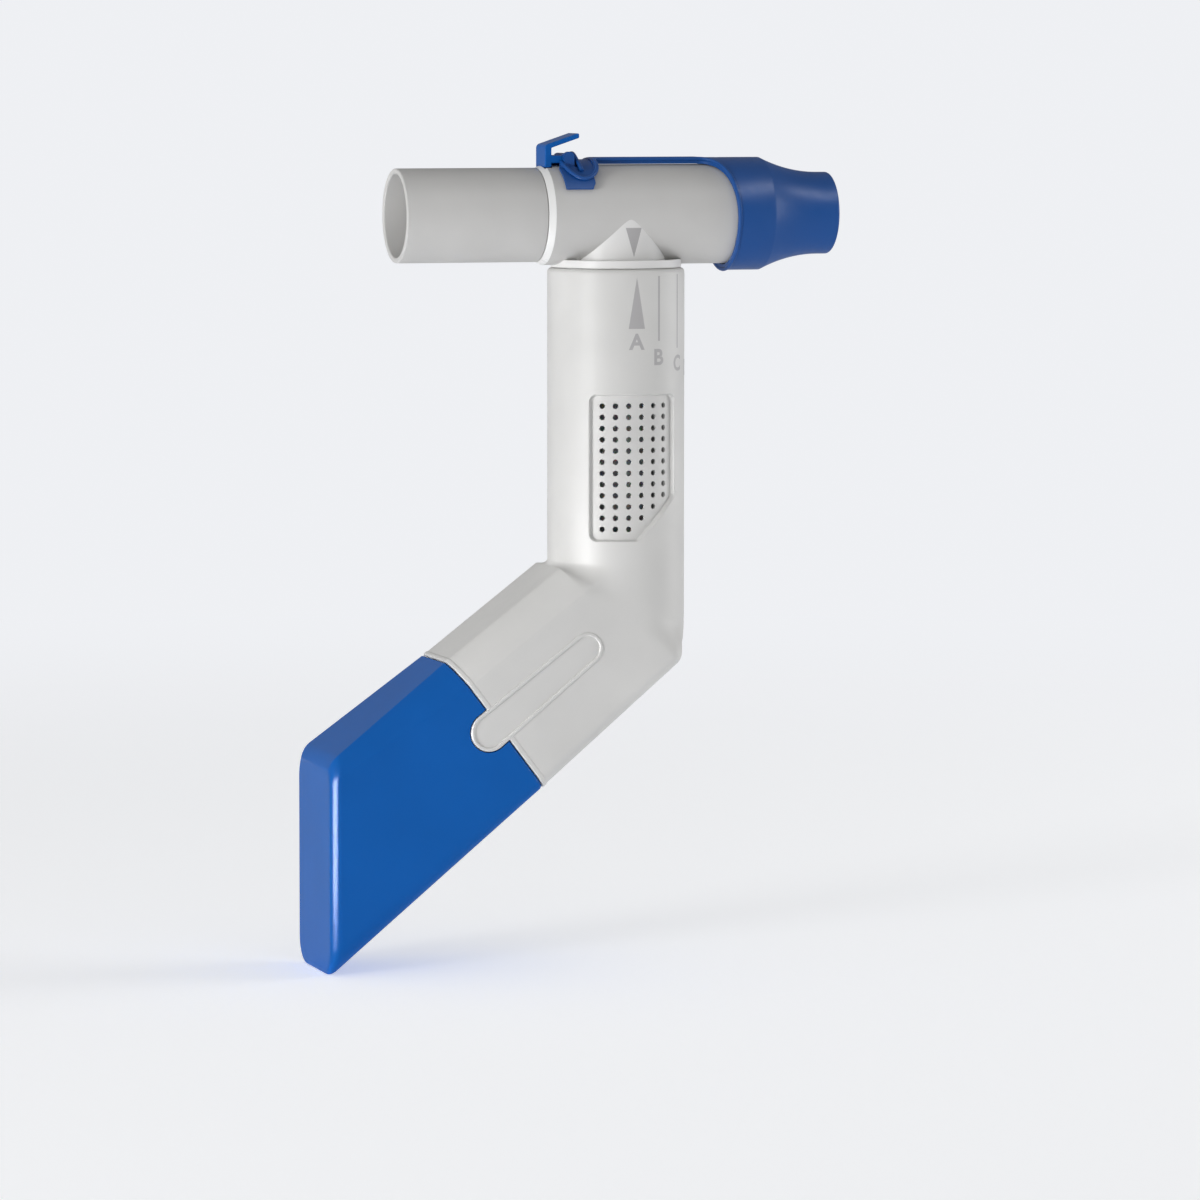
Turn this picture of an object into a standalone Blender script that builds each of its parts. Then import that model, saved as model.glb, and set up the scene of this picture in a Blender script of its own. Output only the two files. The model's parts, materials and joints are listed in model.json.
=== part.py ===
"""Oscillating positive expiratory pressure device, a hand-held breathing therapy aid.

Metres, Z up. Every piece is modelled about the point where the breathing tube's axis
crosses the swivel axis, and the device empty then stands the assembly on z = 0.
X runs from the nebuliser tube to the mouthpiece. The leg points down and to -X.
-Y is the front, which carries the setting scale.
"""

import math

import bmesh
import bpy
from mathutils import Matrix, Vector

# Clearances
GAP = 0.0003
BORE_GAP = 0.0004
CUT_EXTRA = 0.002
MERGE = 0.0000005

# Resolution of the curved shapes
TURN_STEPS = 48
SMALL_STEPS = 32
ARC_STEPS = 6
RING_SIDES = 8
PIN_STEPS = 16
SHARP_ANGLE = math.radians(30)
EAR_STEPS = 44

# Breathing tube: tee, nebuliser tube and their plug joint
TUBE_BORE_R = 0.0110
TEE_R = 0.0133
TEE_LEFT_X = -0.0224
TEE_RIGHT_X = 0.0387
TEE_CHAMFER_LENGTH = 0.0018
NEBULISER_R = 0.0125
NEBULISER_END_X = -0.0612
NEBULISER_PLUG_LENGTH = 0.0105
NEBULISER_PLUG_WALL = 0.0018
SEAL_THICKNESS = 0.0010
SEAL_DEPTH = 0.0006
SEAL_FROM_END = 0.0045

# Inhalation valve inside the tee
SEAT_THICKNESS = 0.0020
SEAT_WINDOW_R = 0.0034
SEAT_WINDOW_CENTRE_R = 0.0055
SEAT_WINDOWS = 4
FLAP_THICKNESS = 0.0008
FLAP_MARGIN = 0.0012

# Swivel branch, its flange and its hold in the housing
BRANCH_R = 0.01325
BRANCH_BORE_R = 0.0109
FLANGE_INSET = 0.0009
RING_SPACE = 0.00305
FLANGE_LOW_Z = -0.0138
FLANGE_THICKNESS = 0.0012
LIP_WIDTH = 0.0010
LIP_HEIGHT = 0.0008
SPIGOT_END_Z = -0.0310
SHELF_DEPTH = 0.0055
SHELF_THICKNESS = 0.0022
RETAINER_THICKNESS = 0.0016
RETAINER_GROOVE_DEPTH = 0.0010

# Valve hose and its fitting
ADAPTER_PLUG_LENGTH = 0.0065
ADAPTER_FLANGE_THICKNESS = 0.0015
ADAPTER_NOZZLE_LENGTH = 0.0130
HOSE_R = 0.0095
HOSE_WALL = 0.0010
ADAPTER_NOZZLE_WALL = 0.0014
CLAMP_THICKNESS = 0.0016
CLAMP_LENGTH = 0.0050
CLAMP_DROP = 0.0030
HOSE_BEND_R = 0.0260
HOSE_REACH = 0.0140
HOSE_FLAT_HALF_WIDTH = 0.0128
HOSE_FLAT_HALF_HEIGHT = 0.0026
HOSE_RING_POINTS = 18
HOSE_END_STEPS = 4
HOSE_FLATNESS_AT_BEND = 0.4

# Housing: round neck, elbow and flat-sided leg
HOUSING_WALL = 0.0020
NECK_EDGE_R = 0.0015
ELBOW_Z = -0.0929
ELBOW_INNER_R = 0.0020
ELBOW_SOFTNESS = 0.0011
LEG_ANGLE = math.radians(37.2)
LEG_FLARE = math.radians(3.0)
LEG_HEIGHT = 0.0422
LEG_SIDE_STEP = 0.0004
LEG_LENGTH = 0.0404
CREASE_AT_JOINT = 0.0105
CREASE_AT_END = 0.0150
SHOULDER_AT_JOINT = 0.0076
SHOULDER_AT_END = 0.0056
FOOT_R = 0.0040
CREASE_INSET_SHARE = 0.6
SHOULDER_INSET_SHARE = 0.5
FOOT_INSET_SHARE = 0.8
SECTION_STEPS = 4
SIDE_STEPS = 7
ELBOW_STEPS = 8
LOW_FLAT_FROM = 0.5
LOW_FLAT_TO = 0.75

# Joint between the leg and its end cap
COLLAR_LENGTH = 0.0080
COLLAR_WALL = 0.0014
COLLAR_ROOT = 0.0040
TONGUE_R = 0.00515
TONGUE_PROUD = 0.0003
TONGUE_THICKNESS = 0.0017
PILL_FAR_R = 0.0044
PILL_FAR_ALONG = -0.0313
PILL_FAR_ACROSS = 0.0012
TONGUE_ALONG = 0.0031
TONGUE_ACROSS = 0.00055

# End cap
CAP_WALL = 0.0020
CAP_END_X = -0.0836
CAP_EDGE_R = 0.0025
CAP_EDGE_STEPS = 3

# Air outlet grilles, one in the front of the neck and one in the back
GRILLE_TOP_Z = -0.0474
GRILLE_LOW_Z = -0.0859
GRILLE_CUT_Z = -0.0745
GRILLE_HALF_ANGLE = math.radians(40)
GRILLE_RECESS = 0.0010
GRILLE_CORNER_R = 0.0020
GRILLE_CUT_ANGLE = math.radians(1)
HOLE_R = 0.00075
HOLE_TOP_Z = -0.05025
HOLE_PITCH = 0.00297
HOLE_ROWS = 12
HOLE_COLUMNS = 6
HOLE_STEP_ANGLE = math.radians(12.03)
HOLE_SHORT_COLUMNS = 3
HOLE_SIDES = 6

# Mouthpiece with its strap and latch saddle
STRAP_INNER_R = TEE_R + GAP
STRAP_THICKNESS = 0.0015
COLLAR_EDGE_X = 0.0298
TAPER_START_X = 0.0397
LIP_START_X = 0.0566
MOUTHPIECE_END_X = 0.0596
MOUTH_R = 0.0110
MOUTH_WALL = 0.0014
MOUTH_EDGE_R = 0.0008
TAPER_STEPS = 6
EDGE_SWEEP_ALONG = 0.0080
EDGE_SWEEP_AROUND = 0.0220
STRAP_HALF_WIDTH = 0.0024
SADDLE_LEFT_X = -0.0171
SADDLE_RIGHT_X = -0.0077
SADDLE_STRAIGHT = 0.0050
SADDLE_LOBE = 0.0072
SADDLE_FILLET = 0.0012
EAR_LEFT_X = -0.0179
EAR_RIGHT_X = -0.0093
EAR_ANGLE = math.radians(60)
EAR_TOP_ANGLE = math.radians(28)
EAR_CHAMFER = 0.0008
EAR_LIFT = 0.00015
EAR_THICKNESS = 0.0007
VENT_X = 0.0285
VENT_R = 0.0010

# Release lever
LEVER_HALF_WIDTH = 0.00425
POST_LEFT_X = -0.0210
POST_THICKNESS = 0.0018
POST_TOP_Z = 0.0178
TAB_ANGLE = math.radians(18.6)
TAB_END_X = -0.0115
TAB_THICKNESS = 0.0013
TAB_EDGE_R = 0.0004
PIVOT_X = -0.0150
PIVOT_Z = 0.0151
BARREL_R = 0.0013
ARM_THICKNESS = 0.0014
TRUNNION_R = 0.0007
LUG_R = 0.0014
LUG_THICKNESS = 0.0016
POCKET_DEPTH = 0.0010

# Sizes that follow from the ones above
NEBULISER_SHOULDER_X = TEE_LEFT_X - GAP
PLUG_END_X = NEBULISER_SHOULDER_X + NEBULISER_PLUG_LENGTH
SEAT_X = PLUG_END_X + GAP
FLAP_X = SEAT_X + SEAT_THICKNESS + GAP
FLAP_R = TUBE_BORE_R - FLAP_MARGIN
NECK_TOP_Z = FLANGE_LOW_Z - GAP
NECK_BORE_R = BRANCH_R + RING_SPACE
NECK_R = NECK_BORE_R + HOUSING_WALL
FLANGE_R = NECK_R - FLANGE_INSET
LEG_HALF_DEPTH = NECK_R - LEG_SIDE_STEP
SHELF_TOP_Z = NECK_TOP_Z - SHELF_DEPTH
SHELF_LOW_Z = SHELF_TOP_Z - SHELF_THICKNESS
ADAPTER_R = BRANCH_BORE_R - GAP
ADAPTER_FLANGE_Z = SPIGOT_END_Z - GAP
NOZZLE_TOP_Z = ADAPTER_FLANGE_Z - ADAPTER_FLANGE_THICKNESS
NOZZLE_R = HOSE_R - HOSE_WALL - GAP
HOSE_TOP_Z = NOZZLE_TOP_Z - GAP
STRAP_R = STRAP_INNER_R + STRAP_THICKNESS
STRAP_MID_R = STRAP_INNER_R + STRAP_THICKNESS / 2
LEG_AXIS = Vector((-math.cos(LEG_ANGLE), 0, -math.sin(LEG_ANGLE)))
LEG_UP = Vector((-math.sin(LEG_ANGLE), 0, math.cos(LEG_ANGLE)))
ELBOW_CORNER = Vector((-NECK_R, 0, ELBOW_Z))
JOINT_TOP = ELBOW_CORNER + LEG_AXIS * LEG_LENGTH
JOINT_LOW = JOINT_TOP - LEG_UP * LEG_HEIGHT
JOINT_MIDDLE = (JOINT_TOP + JOINT_LOW) / 2
LOW_AXIS = Matrix.Rotation(-LEG_FLARE, 3, "Y") @ LEG_AXIS
LOW_UP = Matrix.Rotation(-LEG_FLARE, 3, "Y") @ LEG_UP

WHITE = ("white_plastic", (0.80, 0.80, 0.79), 0.42)
BLUE = ("blue_plastic", (0.02, 0.12, 0.46), 0.28)
SILICONE = ("clear_silicone", (0.72, 0.74, 0.74), 0.5)
DARK_SEAL = ("grey_seal", (0.20, 0.21, 0.22), 0.6)


def clear_scene():
    for thing in list(bpy.data.objects):
        bpy.data.objects.remove(thing)


def principled(look):
    """The material of this name, made once."""
    name, colour, roughness = look
    material = bpy.data.materials.get(name)
    if material:
        return material
    material = bpy.data.materials.new(name)
    material.use_nodes = True
    shader = material.node_tree.nodes["Principled BSDF"]
    shader.inputs["Base Color"].default_value = (*colour, 1)
    shader.inputs["Roughness"].default_value = roughness
    shader.inputs["Metallic"].default_value = 0
    return material


def empty(name, location, parent=None):
    """An empty that carries pieces. Its location is given in the device's own frame."""
    marker = bpy.data.objects.new(name, None)
    bpy.context.collection.objects.link(marker)
    marker.parent = parent
    marker["device_place"] = tuple(location)
    base = Vector(parent["device_place"]) if parent else Vector((0, 0, 0))
    marker.location = Vector(location) - base
    return marker


def add(name, shape, parent, look=None):
    """Makes an object of a bmesh drawn in the device's frame. Without a look it is a cutter."""
    bmesh.ops.translate(shape, verts=shape.verts, vec=-Vector(parent["device_place"]))
    bmesh.ops.recalc_face_normals(shape, faces=shape.faces)
    mesh = bpy.data.meshes.new(name)
    shape.to_mesh(mesh)
    shape.free()
    mesh.shade_smooth()
    mesh.set_sharp_from_angle(angle=SHARP_ANGLE)
    thing = bpy.data.objects.new(name, mesh)
    bpy.context.collection.objects.link(thing)
    thing.parent = parent
    if look:
        mesh.materials.append(principled(look))
    else:
        thing.hide_render = True
        thing.display_type = "WIRE"
    return thing


def boolean(target, other, operation, solver):
    modifier = target.modifiers.new(other.name, "BOOLEAN")
    modifier.operation = operation
    modifier.solver = solver
    modifier.object = other


def cut(target, name, shape, solver="EXACT"):
    boolean(target, add(name, shape, target.parent), "DIFFERENCE", solver)


def join(target, name, shape, solver="EXACT"):
    boolean(target, add(name, shape, target.parent), "UNION", solver)


def turned(profile, axis="Z", centre=(0, 0, 0), steps=TURN_STEPS):
    """Spins a closed profile of (radius, height along the axis) points about the axis."""
    shape = bmesh.new()
    verts = [shape.verts.new((radius, 0, height)) for radius, height in profile]
    pairs = zip(verts, verts[1:] + verts[:1])
    edges = [shape.edges.new(pair) for pair in pairs if max(pair[0].co.x, pair[1].co.x) > MERGE]
    bmesh.ops.spin(
        shape, geom=verts + edges, cent=(0, 0, 0), axis=(0, 0, 1), angle=math.tau, steps=steps
    )
    bmesh.ops.remove_doubles(shape, verts=shape.verts, dist=MERGE)
    if axis == "X":
        bmesh.ops.rotate(shape, verts=shape.verts, matrix=Matrix.Rotation(math.pi / 2, 3, "Y"))
    if axis == "Y":
        bmesh.ops.rotate(shape, verts=shape.verts, matrix=Matrix.Rotation(-math.pi / 2, 3, "X"))
    bmesh.ops.translate(shape, verts=shape.verts, vec=centre)
    return shape


def rod(radius, low, high, axis="Z", centre=(0, 0, 0), steps=TURN_STEPS):
    return turned([(0, high), (radius, high), (radius, low), (0, low)], axis, centre, steps)


def sleeve(outer, inner, low, high, axis="Z", steps=TURN_STEPS):
    return turned([(outer, high), (outer, low), (inner, low), (inner, high)], axis, steps=steps)


def prism(outline, low_y, high_y):
    """Extrudes an outline of (x, z) points along Y."""
    shape = bmesh.new()
    face = shape.faces.new([shape.verts.new((x, low_y, z)) for x, z in outline])
    grown = bmesh.ops.extrude_face_region(shape, geom=[face])
    moved = [item for item in grown["geom"] if isinstance(item, bmesh.types.BMVert)]
    bmesh.ops.translate(shape, verts=moved, vec=(0, high_y - low_y, 0))
    return shape


def box(low, high):
    outline = [(low[0], low[2]), (high[0], low[2]), (high[0], high[2]), (low[0], high[2])]
    return prism(outline, low[1], high[1])


def arc(centre, radius_a, radius_b, start, end, steps=ARC_STEPS):
    """Points of an elliptic arc from one angle to another, both ends included."""
    angles = [start + (end - start) * step / steps for step in range(steps + 1)]
    return [
        (centre[0] + radius_a * math.cos(angle), centre[1] + radius_b * math.sin(angle))
        for angle in angles
    ]


def rounded(corners):
    """An outline whose (x, y, radius) corners are rounded."""
    outline = []
    for index, (x, y, radius) in enumerate(corners):
        corner = Vector((x, y))
        before = (Vector(corners[index - 1][:2]) - corner).normalized()
        after = (Vector(corners[(index + 1) % len(corners)][:2]) - corner).normalized()
        if radius == 0:
            outline.append((x, y))
            continue
        half = before.angle(after) / 2
        centre = corner + (before + after).normalized() * radius / math.sin(half)
        first = corner + before * radius / math.tan(half) - centre
        turn = first.angle_signed(corner + after * radius / math.tan(half) - centre)
        for step in range(ARC_STEPS + 1):
            spoke = first.copy()
            spoke.rotate(Matrix.Rotation(-turn * step / ARC_STEPS, 2))
            outline.append(tuple(centre + spoke))
    return outline


def wrapped(outline, inner, outer, axis, bend_r, closed_end=None, steps=TURN_STEPS):
    """Bends a flat plate round an axis.

    The outline holds (along the axis, around it) points, the second as a length at bend_r.
    With axis X it starts at the crest and turns to the front, with axis Z it starts at the
    front and turns to +X. A plate of full length round is closed into a ring, and
    closed_end is the place along the axis where its end wall is left out.
    """
    shape = bmesh.new()
    shape.faces.new([shape.verts.new((along, around, 0)) for along, around in outline])
    step = math.tau / steps * bend_r
    half_round = math.pi * bend_r
    for index in range(-steps // 2 + 1, steps // 2):
        everything = shape.verts[:] + shape.edges[:] + shape.faces[:]
        place = (0, index * step, 0)
        bmesh.ops.bisect_plane(
            shape, geom=everything, dist=MERGE, plane_co=place, plane_no=(0, 1, 0)
        )
    grown = bmesh.ops.extrude_face_region(shape, geom=shape.faces[:])
    moved = [item for item in grown["geom"] if isinstance(item, bmesh.types.BMVert)]
    bmesh.ops.translate(shape, verts=moved, vec=(0, 0, outer - inner))
    bmesh.ops.recalc_face_normals(shape, faces=shape.faces)
    hidden = [
        face
        for face in shape.faces
        if all(abs(abs(vert.co.y) - half_round) < MERGE for vert in face.verts)
        or closed_end is not None
        and all(abs(vert.co.x - closed_end) < MERGE for vert in face.verts)
    ]
    bmesh.ops.delete(shape, geom=hidden, context="FACES")
    for vert in shape.verts:
        along, angle, radius = vert.co.x, vert.co.y / bend_r, inner + vert.co.z
        if axis == "X":
            vert.co = (along, -radius * math.sin(angle), radius * math.cos(angle))
        else:
            vert.co = (radius * math.sin(angle), -radius * math.cos(angle), along)
    bmesh.ops.remove_doubles(shape, verts=shape.verts, dist=MERGE)
    return shape


def loft(rings, looped=False):
    """Joins rings of equal length by quads. The ends are filled, or joined when looped."""
    shape = bmesh.new()
    rows = [[shape.verts.new(point) for point in ring] for ring in rings]
    pairs = list(zip(rows, rows[1:]))
    if looped:
        pairs.append((rows[-1], rows[0]))
    for low, high in pairs:
        for index, vert in enumerate(low):
            after = (index + 1) % len(low)
            shape.faces.new((vert, low[after], high[after], high[index]))
    if not looped:
        shape.faces.new(rows[0])
        shape.faces.new(rows[-1])
    return shape


def mirrored(shape):
    """The same shape on the other side of the XZ plane."""
    bmesh.ops.scale(shape, verts=shape.verts, vec=(1, -1, 1))
    return shape


def leg_half_outline(half_height, half_depth, crease, drop, foot):
    """The (across, up) points of the leg's section from the middle of its top to that of its foot."""
    spread = half_depth - crease
    shoulder_r = (spread**2 + drop**2) / (2 * spread)
    shoulder = (half_depth - shoulder_r, half_height - drop)
    start = math.asin(drop / shoulder_r)
    side_low = foot - half_height
    side = half_height - drop - side_low
    flat = half_depth - foot
    points = [(crease * step / SECTION_STEPS, half_height) for step in range(SECTION_STEPS)]
    points += arc(shoulder, shoulder_r, shoulder_r, start, 0, SECTION_STEPS)
    for step in range(1, SIDE_STEPS):
        points.append((half_depth, half_height - drop - side * step / SIDE_STEPS))
    points += arc((flat, side_low), foot, foot, 0, -math.pi / 2, SECTION_STEPS)
    for step in range(SECTION_STEPS):
        points.append((flat * (1 - (step + 1) / SECTION_STEPS), -half_height))
    return points


def leg_outline(half_height, half_depth, inset, share, blend, low_blend):
    """A whole section, between the neck's round form at blend 0 and the leg's flat sides at 1.

    The half below its middle has a blend of its own. Share runs from 0 at the leg's joint
    to 1 at the cap's end, along which the top's edges sharpen.
    """
    half_height -= inset
    half_depth -= inset
    crease = CREASE_AT_JOINT + (CREASE_AT_END - CREASE_AT_JOINT) * share
    drop = SHOULDER_AT_JOINT + (SHOULDER_AT_END - SHOULDER_AT_JOINT) * share
    flat = leg_half_outline(
        half_height,
        half_depth,
        crease - inset * CREASE_INSET_SHARE,
        drop - inset * SHOULDER_INSET_SHARE,
        FOOT_R - inset * FOOT_INSET_SHARE,
    )
    half = []
    for across, up in flat:
        angle = math.atan2(up / half_height, across / half_depth)
        round_across = half_depth * math.cos(angle)
        round_up = half_height * math.sin(angle)
        flatness = blend if up > 0 else low_blend
        half.append(
            (
                round_across + (across - round_across) * flatness,
                round_up + (up - round_up) * flatness,
            )
        )
    return half + [(-across, up) for across, up in reversed(half[1:-1])]


def leg_ring(top, low, inset, blend, share=0, low_blend=None):
    """The section between a point of the top line and one of the low line."""
    top = Vector(top)
    low = Vector(low)
    middle = (top + low) / 2
    up = (top - low).normalized()
    depth = NECK_R + (LEG_HALF_DEPTH - NECK_R) * blend
    low_blend = blend if low_blend is None else low_blend
    outline = leg_outline((top - low).length / 2, depth, inset, share, blend, low_blend)
    return [middle + up * height + Vector((0, across, 0)) for across, height in outline]


def smoothstep(value):
    value = min(max(value, 0), 1)
    return value * value * (3 - 2 * value)


def elbow_sections(inset):
    """The rings that turn the neck into the leg, fanned about the inside of the elbow."""
    turn = math.pi / 2 - LEG_ANGLE
    pivot = ELBOW_CORNER + Vector((-ELBOW_INNER_R, 0, ELBOW_INNER_R * math.tan(turn / 2)))
    rings = []
    for step in range(ELBOW_STEPS + 1):
        angle = turn * step / ELBOW_STEPS
        outward = Vector((math.cos(angle), 0, -math.sin(angle)))
        to_side = (NECK_R - pivot.x) / outward.x
        facing = -outward.dot(LOW_UP)
        to_low = (pivot - JOINT_LOW).dot(LOW_UP) / facing if facing > MERGE else math.inf
        nearer = min(to_side, to_low)
        excess = math.exp(-abs(to_side - to_low) / ELBOW_SOFTNESS)
        reach = nearer - ELBOW_SOFTNESS * math.log(1 + excess)
        share = step / ELBOW_STEPS
        blend = smoothstep(share)
        low_blend = smoothstep((share - LOW_FLAT_FROM) / (LOW_FLAT_TO - LOW_FLAT_FROM))
        ends = (pivot + outward * ELBOW_INNER_R, pivot + outward * reach)
        rings.append(leg_ring(*ends, inset, blend, low_blend=low_blend))
    return rings


def leg_station(along, inset):
    """A ring of the leg, at a distance past its joint. Past the joint it keeps its size."""
    top = JOINT_TOP + LEG_AXIS * along
    low = JOINT_LOW + (LEG_AXIS if along > 0 else LOW_AXIS) * along
    return leg_ring(top, low, inset, 1)


def neck_ring(height, inset):
    return leg_ring((-NECK_R, 0, height), (NECK_R, 0, height), inset, 0)


def housing_rings():
    """The outside from the neck's top to the collar's end, then the inside back up."""
    rings = [
        neck_ring(NECK_TOP_Z - NECK_EDGE_R * (1 - math.cos(angle)), NECK_EDGE_R * (1 - math.sin(angle)))
        for angle in (0, math.pi / 4, math.pi / 2)
    ]
    rings += elbow_sections(0)
    rings.append(leg_station(0, 0))
    collar = CAP_WALL + GAP
    rings.append(leg_station(0, collar))
    rings.append(leg_station(COLLAR_LENGTH, collar))
    rings.append(leg_station(COLLAR_LENGTH, collar + COLLAR_WALL))
    rings.append(leg_station(-COLLAR_ROOT, collar + COLLAR_WALL))
    rings.append(leg_station(-COLLAR_ROOT - COLLAR_WALL, HOUSING_WALL))
    rings += reversed(elbow_sections(HOUSING_WALL))
    rings.append(neck_ring(NECK_TOP_Z, HOUSING_WALL))
    return rings


def pill_point(along, across):
    point = JOINT_MIDDLE + LEG_AXIS * along + LEG_UP * across
    return Vector((point.x, point.z))


def pill_outline(margin=0):
    """The long round-ended panel on the leg's side. Its wider end is the tongue over the cap."""
    near = pill_point(TONGUE_ALONG, TONGUE_ACROSS)
    far = pill_point(PILL_FAR_ALONG, PILL_FAR_ACROSS)
    near_r = TONGUE_R + margin
    far_r = PILL_FAR_R + margin
    run = near - far
    heading = math.atan2(run.y, run.x)
    quarter = math.pi / 2
    outline = arc(near, near_r, near_r, heading - quarter, heading + quarter, 2 * ARC_STEPS)
    outline += arc(far, far_r, far_r, heading + quarter, heading + 3 * quarter, 2 * ARC_STEPS)
    return outline


def grille_outline():
    """The recess as (height, distance round the neck) points. Its low corner follows the leg."""
    side = GRILLE_HALF_ANGLE * NECK_R
    return rounded(
        [
            (GRILLE_TOP_Z, -side, GRILLE_CORNER_R),
            (GRILLE_LOW_Z, -side, GRILLE_CORNER_R),
            (GRILLE_LOW_Z, GRILLE_CUT_ANGLE * NECK_R, GRILLE_CORNER_R),
            (GRILLE_CUT_Z, side, GRILLE_CORNER_R),
            (GRILLE_TOP_Z, side, GRILLE_CORNER_R),
        ]
    )


def grille_holes():
    """Every hole of one grille, as one shape of separate radial rods."""
    holes = bmesh.new()
    first = -HOLE_STEP_ANGLE * (HOLE_COLUMNS - 1) / 2
    for column in range(HOLE_COLUMNS):
        angle = first + HOLE_STEP_ANGLE * column
        missing = max(0, column - (HOLE_COLUMNS - HOLE_SHORT_COLUMNS) + 1)
        for row in range(HOLE_ROWS - missing):
            height = HOLE_TOP_Z - HOLE_PITCH * row
            turn = Matrix.Rotation(angle, 4, "Z") @ Matrix.Rotation(math.pi / 2, 4, "X")
            middle = NECK_R - HOUSING_WALL / 2
            place = Matrix.Translation((middle * math.sin(angle), -middle * math.cos(angle), height))
            bmesh.ops.create_cone(
                holes,
                cap_ends=True,
                segments=HOLE_SIDES,
                radius1=HOLE_R,
                radius2=HOLE_R,
                depth=HOUSING_WALL * 2,
                matrix=place @ turn,
            )
    return holes


def housing(parent):
    body = add("housing", loft(housing_rings(), looped=True), parent, WHITE)
    shelf_r = BRANCH_R + GAP
    overlap = HOUSING_WALL / 2
    join(body, "shelf_tool", sleeve(NECK_BORE_R + overlap, shelf_r, SHELF_LOW_Z, SHELF_TOP_Z))
    outside = LEG_HALF_DEPTH + TONGUE_PROUD
    inside = outside - TONGUE_THICKNESS
    bend = (NECK_R - GRILLE_RECESS, NECK_R + CUT_EXTRA)
    join(body, "front_pill_tool", prism(pill_outline(), -outside, -inside))
    join(body, "back_pill_tool", prism(pill_outline(), inside, outside))
    cut(body, "front_recess_tool", wrapped(grille_outline(), *bend, "Z", NECK_R))
    cut(body, "back_recess_tool", mirrored(wrapped(grille_outline(), *bend, "Z", NECK_R)))
    cut(body, "front_holes_tool", grille_holes())
    cut(body, "back_holes_tool", mirrored(grille_holes()))
    return body


def cap_line_point(start, direction, x):
    return start + direction * ((x - start.x) / direction.x)


def cap_station(share, end_x, inset, back_off=GAP):
    """A ring of the cap: share 0 is its mouth and share 1 the upright line at end_x."""
    mouth_top = JOINT_TOP + LEG_AXIS * back_off
    mouth_low = JOINT_LOW + LEG_AXIS * back_off
    top = mouth_top.lerp(cap_line_point(JOINT_TOP, LEG_AXIS, end_x), share)
    low = mouth_low.lerp(cap_line_point(JOINT_LOW, LOW_AXIS, end_x), share)
    return leg_ring(top, low, inset, 1, share)


def cap_outer_rings():
    rings = [cap_station(share, CAP_END_X + CAP_EDGE_R, 0) for share in (0, 0.5)]
    for step in range(CAP_EDGE_STEPS + 1):
        angle = math.pi / 2 * step / CAP_EDGE_STEPS
        end_x = CAP_END_X + CAP_EDGE_R * (1 - math.sin(angle))
        rings.append(cap_station(1, end_x, CAP_EDGE_R * (1 - math.cos(angle))))
    return rings


def end_cap(parent):
    outer = cap_outer_rings()
    inner = [cap_station(share, CAP_END_X + CAP_WALL, CAP_WALL) for share in (0, 0.5, 1)]
    shape = bmesh.new()
    rows = [[shape.verts.new(point) for point in ring] for ring in outer[::-1] + inner]
    for low, high in zip(rows, rows[1:]):
        for index, vert in enumerate(low):
            after = (index + 1) % len(low)
            shape.faces.new((vert, low[after], high[after], high[index]))
    shape.faces.new(rows[0])
    shape.faces.new(rows[-1])
    cap = add("end_cap", shape, parent, BLUE)
    notch_low = LEG_HALF_DEPTH - CAP_WALL - GAP
    notch_high = LEG_HALF_DEPTH + CUT_EXTRA
    cut(cap, "front_notch_tool", prism(pill_outline(GAP), -notch_high, -notch_low))
    cut(cap, "back_notch_tool", prism(pill_outline(GAP), notch_low, notch_high))
    return cap


def tee_body(parent):
    """A level tube crossed by the swivel branch, with its flange, spigot and latch pocket."""
    chamfer_x = TEE_LEFT_X + TEE_CHAMFER_LENGTH
    level = [(0, TEE_RIGHT_X), (TEE_R, TEE_RIGHT_X), (TEE_R, chamfer_x)]
    level += [(NEBULISER_R, TEE_LEFT_X), (0, TEE_LEFT_X)]
    tee = add("tee_body", turned(level, "X"), parent, WHITE)
    ledge_z = FLANGE_LOW_Z + FLANGE_THICKNESS
    groove_r = BRANCH_R - RETAINER_GROOVE_DEPTH
    groove_low = SHELF_LOW_Z - RETAINER_THICKNESS - 2 * GAP
    branch = [
        (0, 0),
        (BRANCH_R, 0),
        (BRANCH_R, ledge_z),
        (FLANGE_R - LIP_WIDTH, ledge_z),
        (FLANGE_R - LIP_WIDTH, ledge_z + LIP_HEIGHT),
        (FLANGE_R, ledge_z + LIP_HEIGHT),
        (FLANGE_R, FLANGE_LOW_Z),
        (BRANCH_R, FLANGE_LOW_Z),
        (BRANCH_R, SHELF_LOW_Z),
        (groove_r, SHELF_LOW_Z),
        (groove_r, groove_low),
        (BRANCH_R, groove_low),
        (BRANCH_R, SPIGOT_END_Z),
        (0, SPIGOT_END_Z),
    ]
    join(tee, "branch_tool", turned(branch))
    bore = rod(TUBE_BORE_R, TEE_LEFT_X - CUT_EXTRA, TEE_RIGHT_X + CUT_EXTRA, "X")
    cut(tee, "level_bore_tool", bore)
    cut(tee, "branch_bore_tool", rod(BRANCH_BORE_R, SPIGOT_END_Z - CUT_EXTRA, 0))
    pocket_low = (POST_LEFT_X - BORE_GAP, -LEVER_HALF_WIDTH - BORE_GAP, TEE_R - POCKET_DEPTH)
    pocket_right = POST_LEFT_X + POST_THICKNESS + BORE_GAP
    pocket_high = (pocket_right, LEVER_HALF_WIDTH + BORE_GAP, TEE_R + CUT_EXTRA)
    cut(tee, "pocket_tool", box(pocket_low, pocket_high))
    return tee


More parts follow.
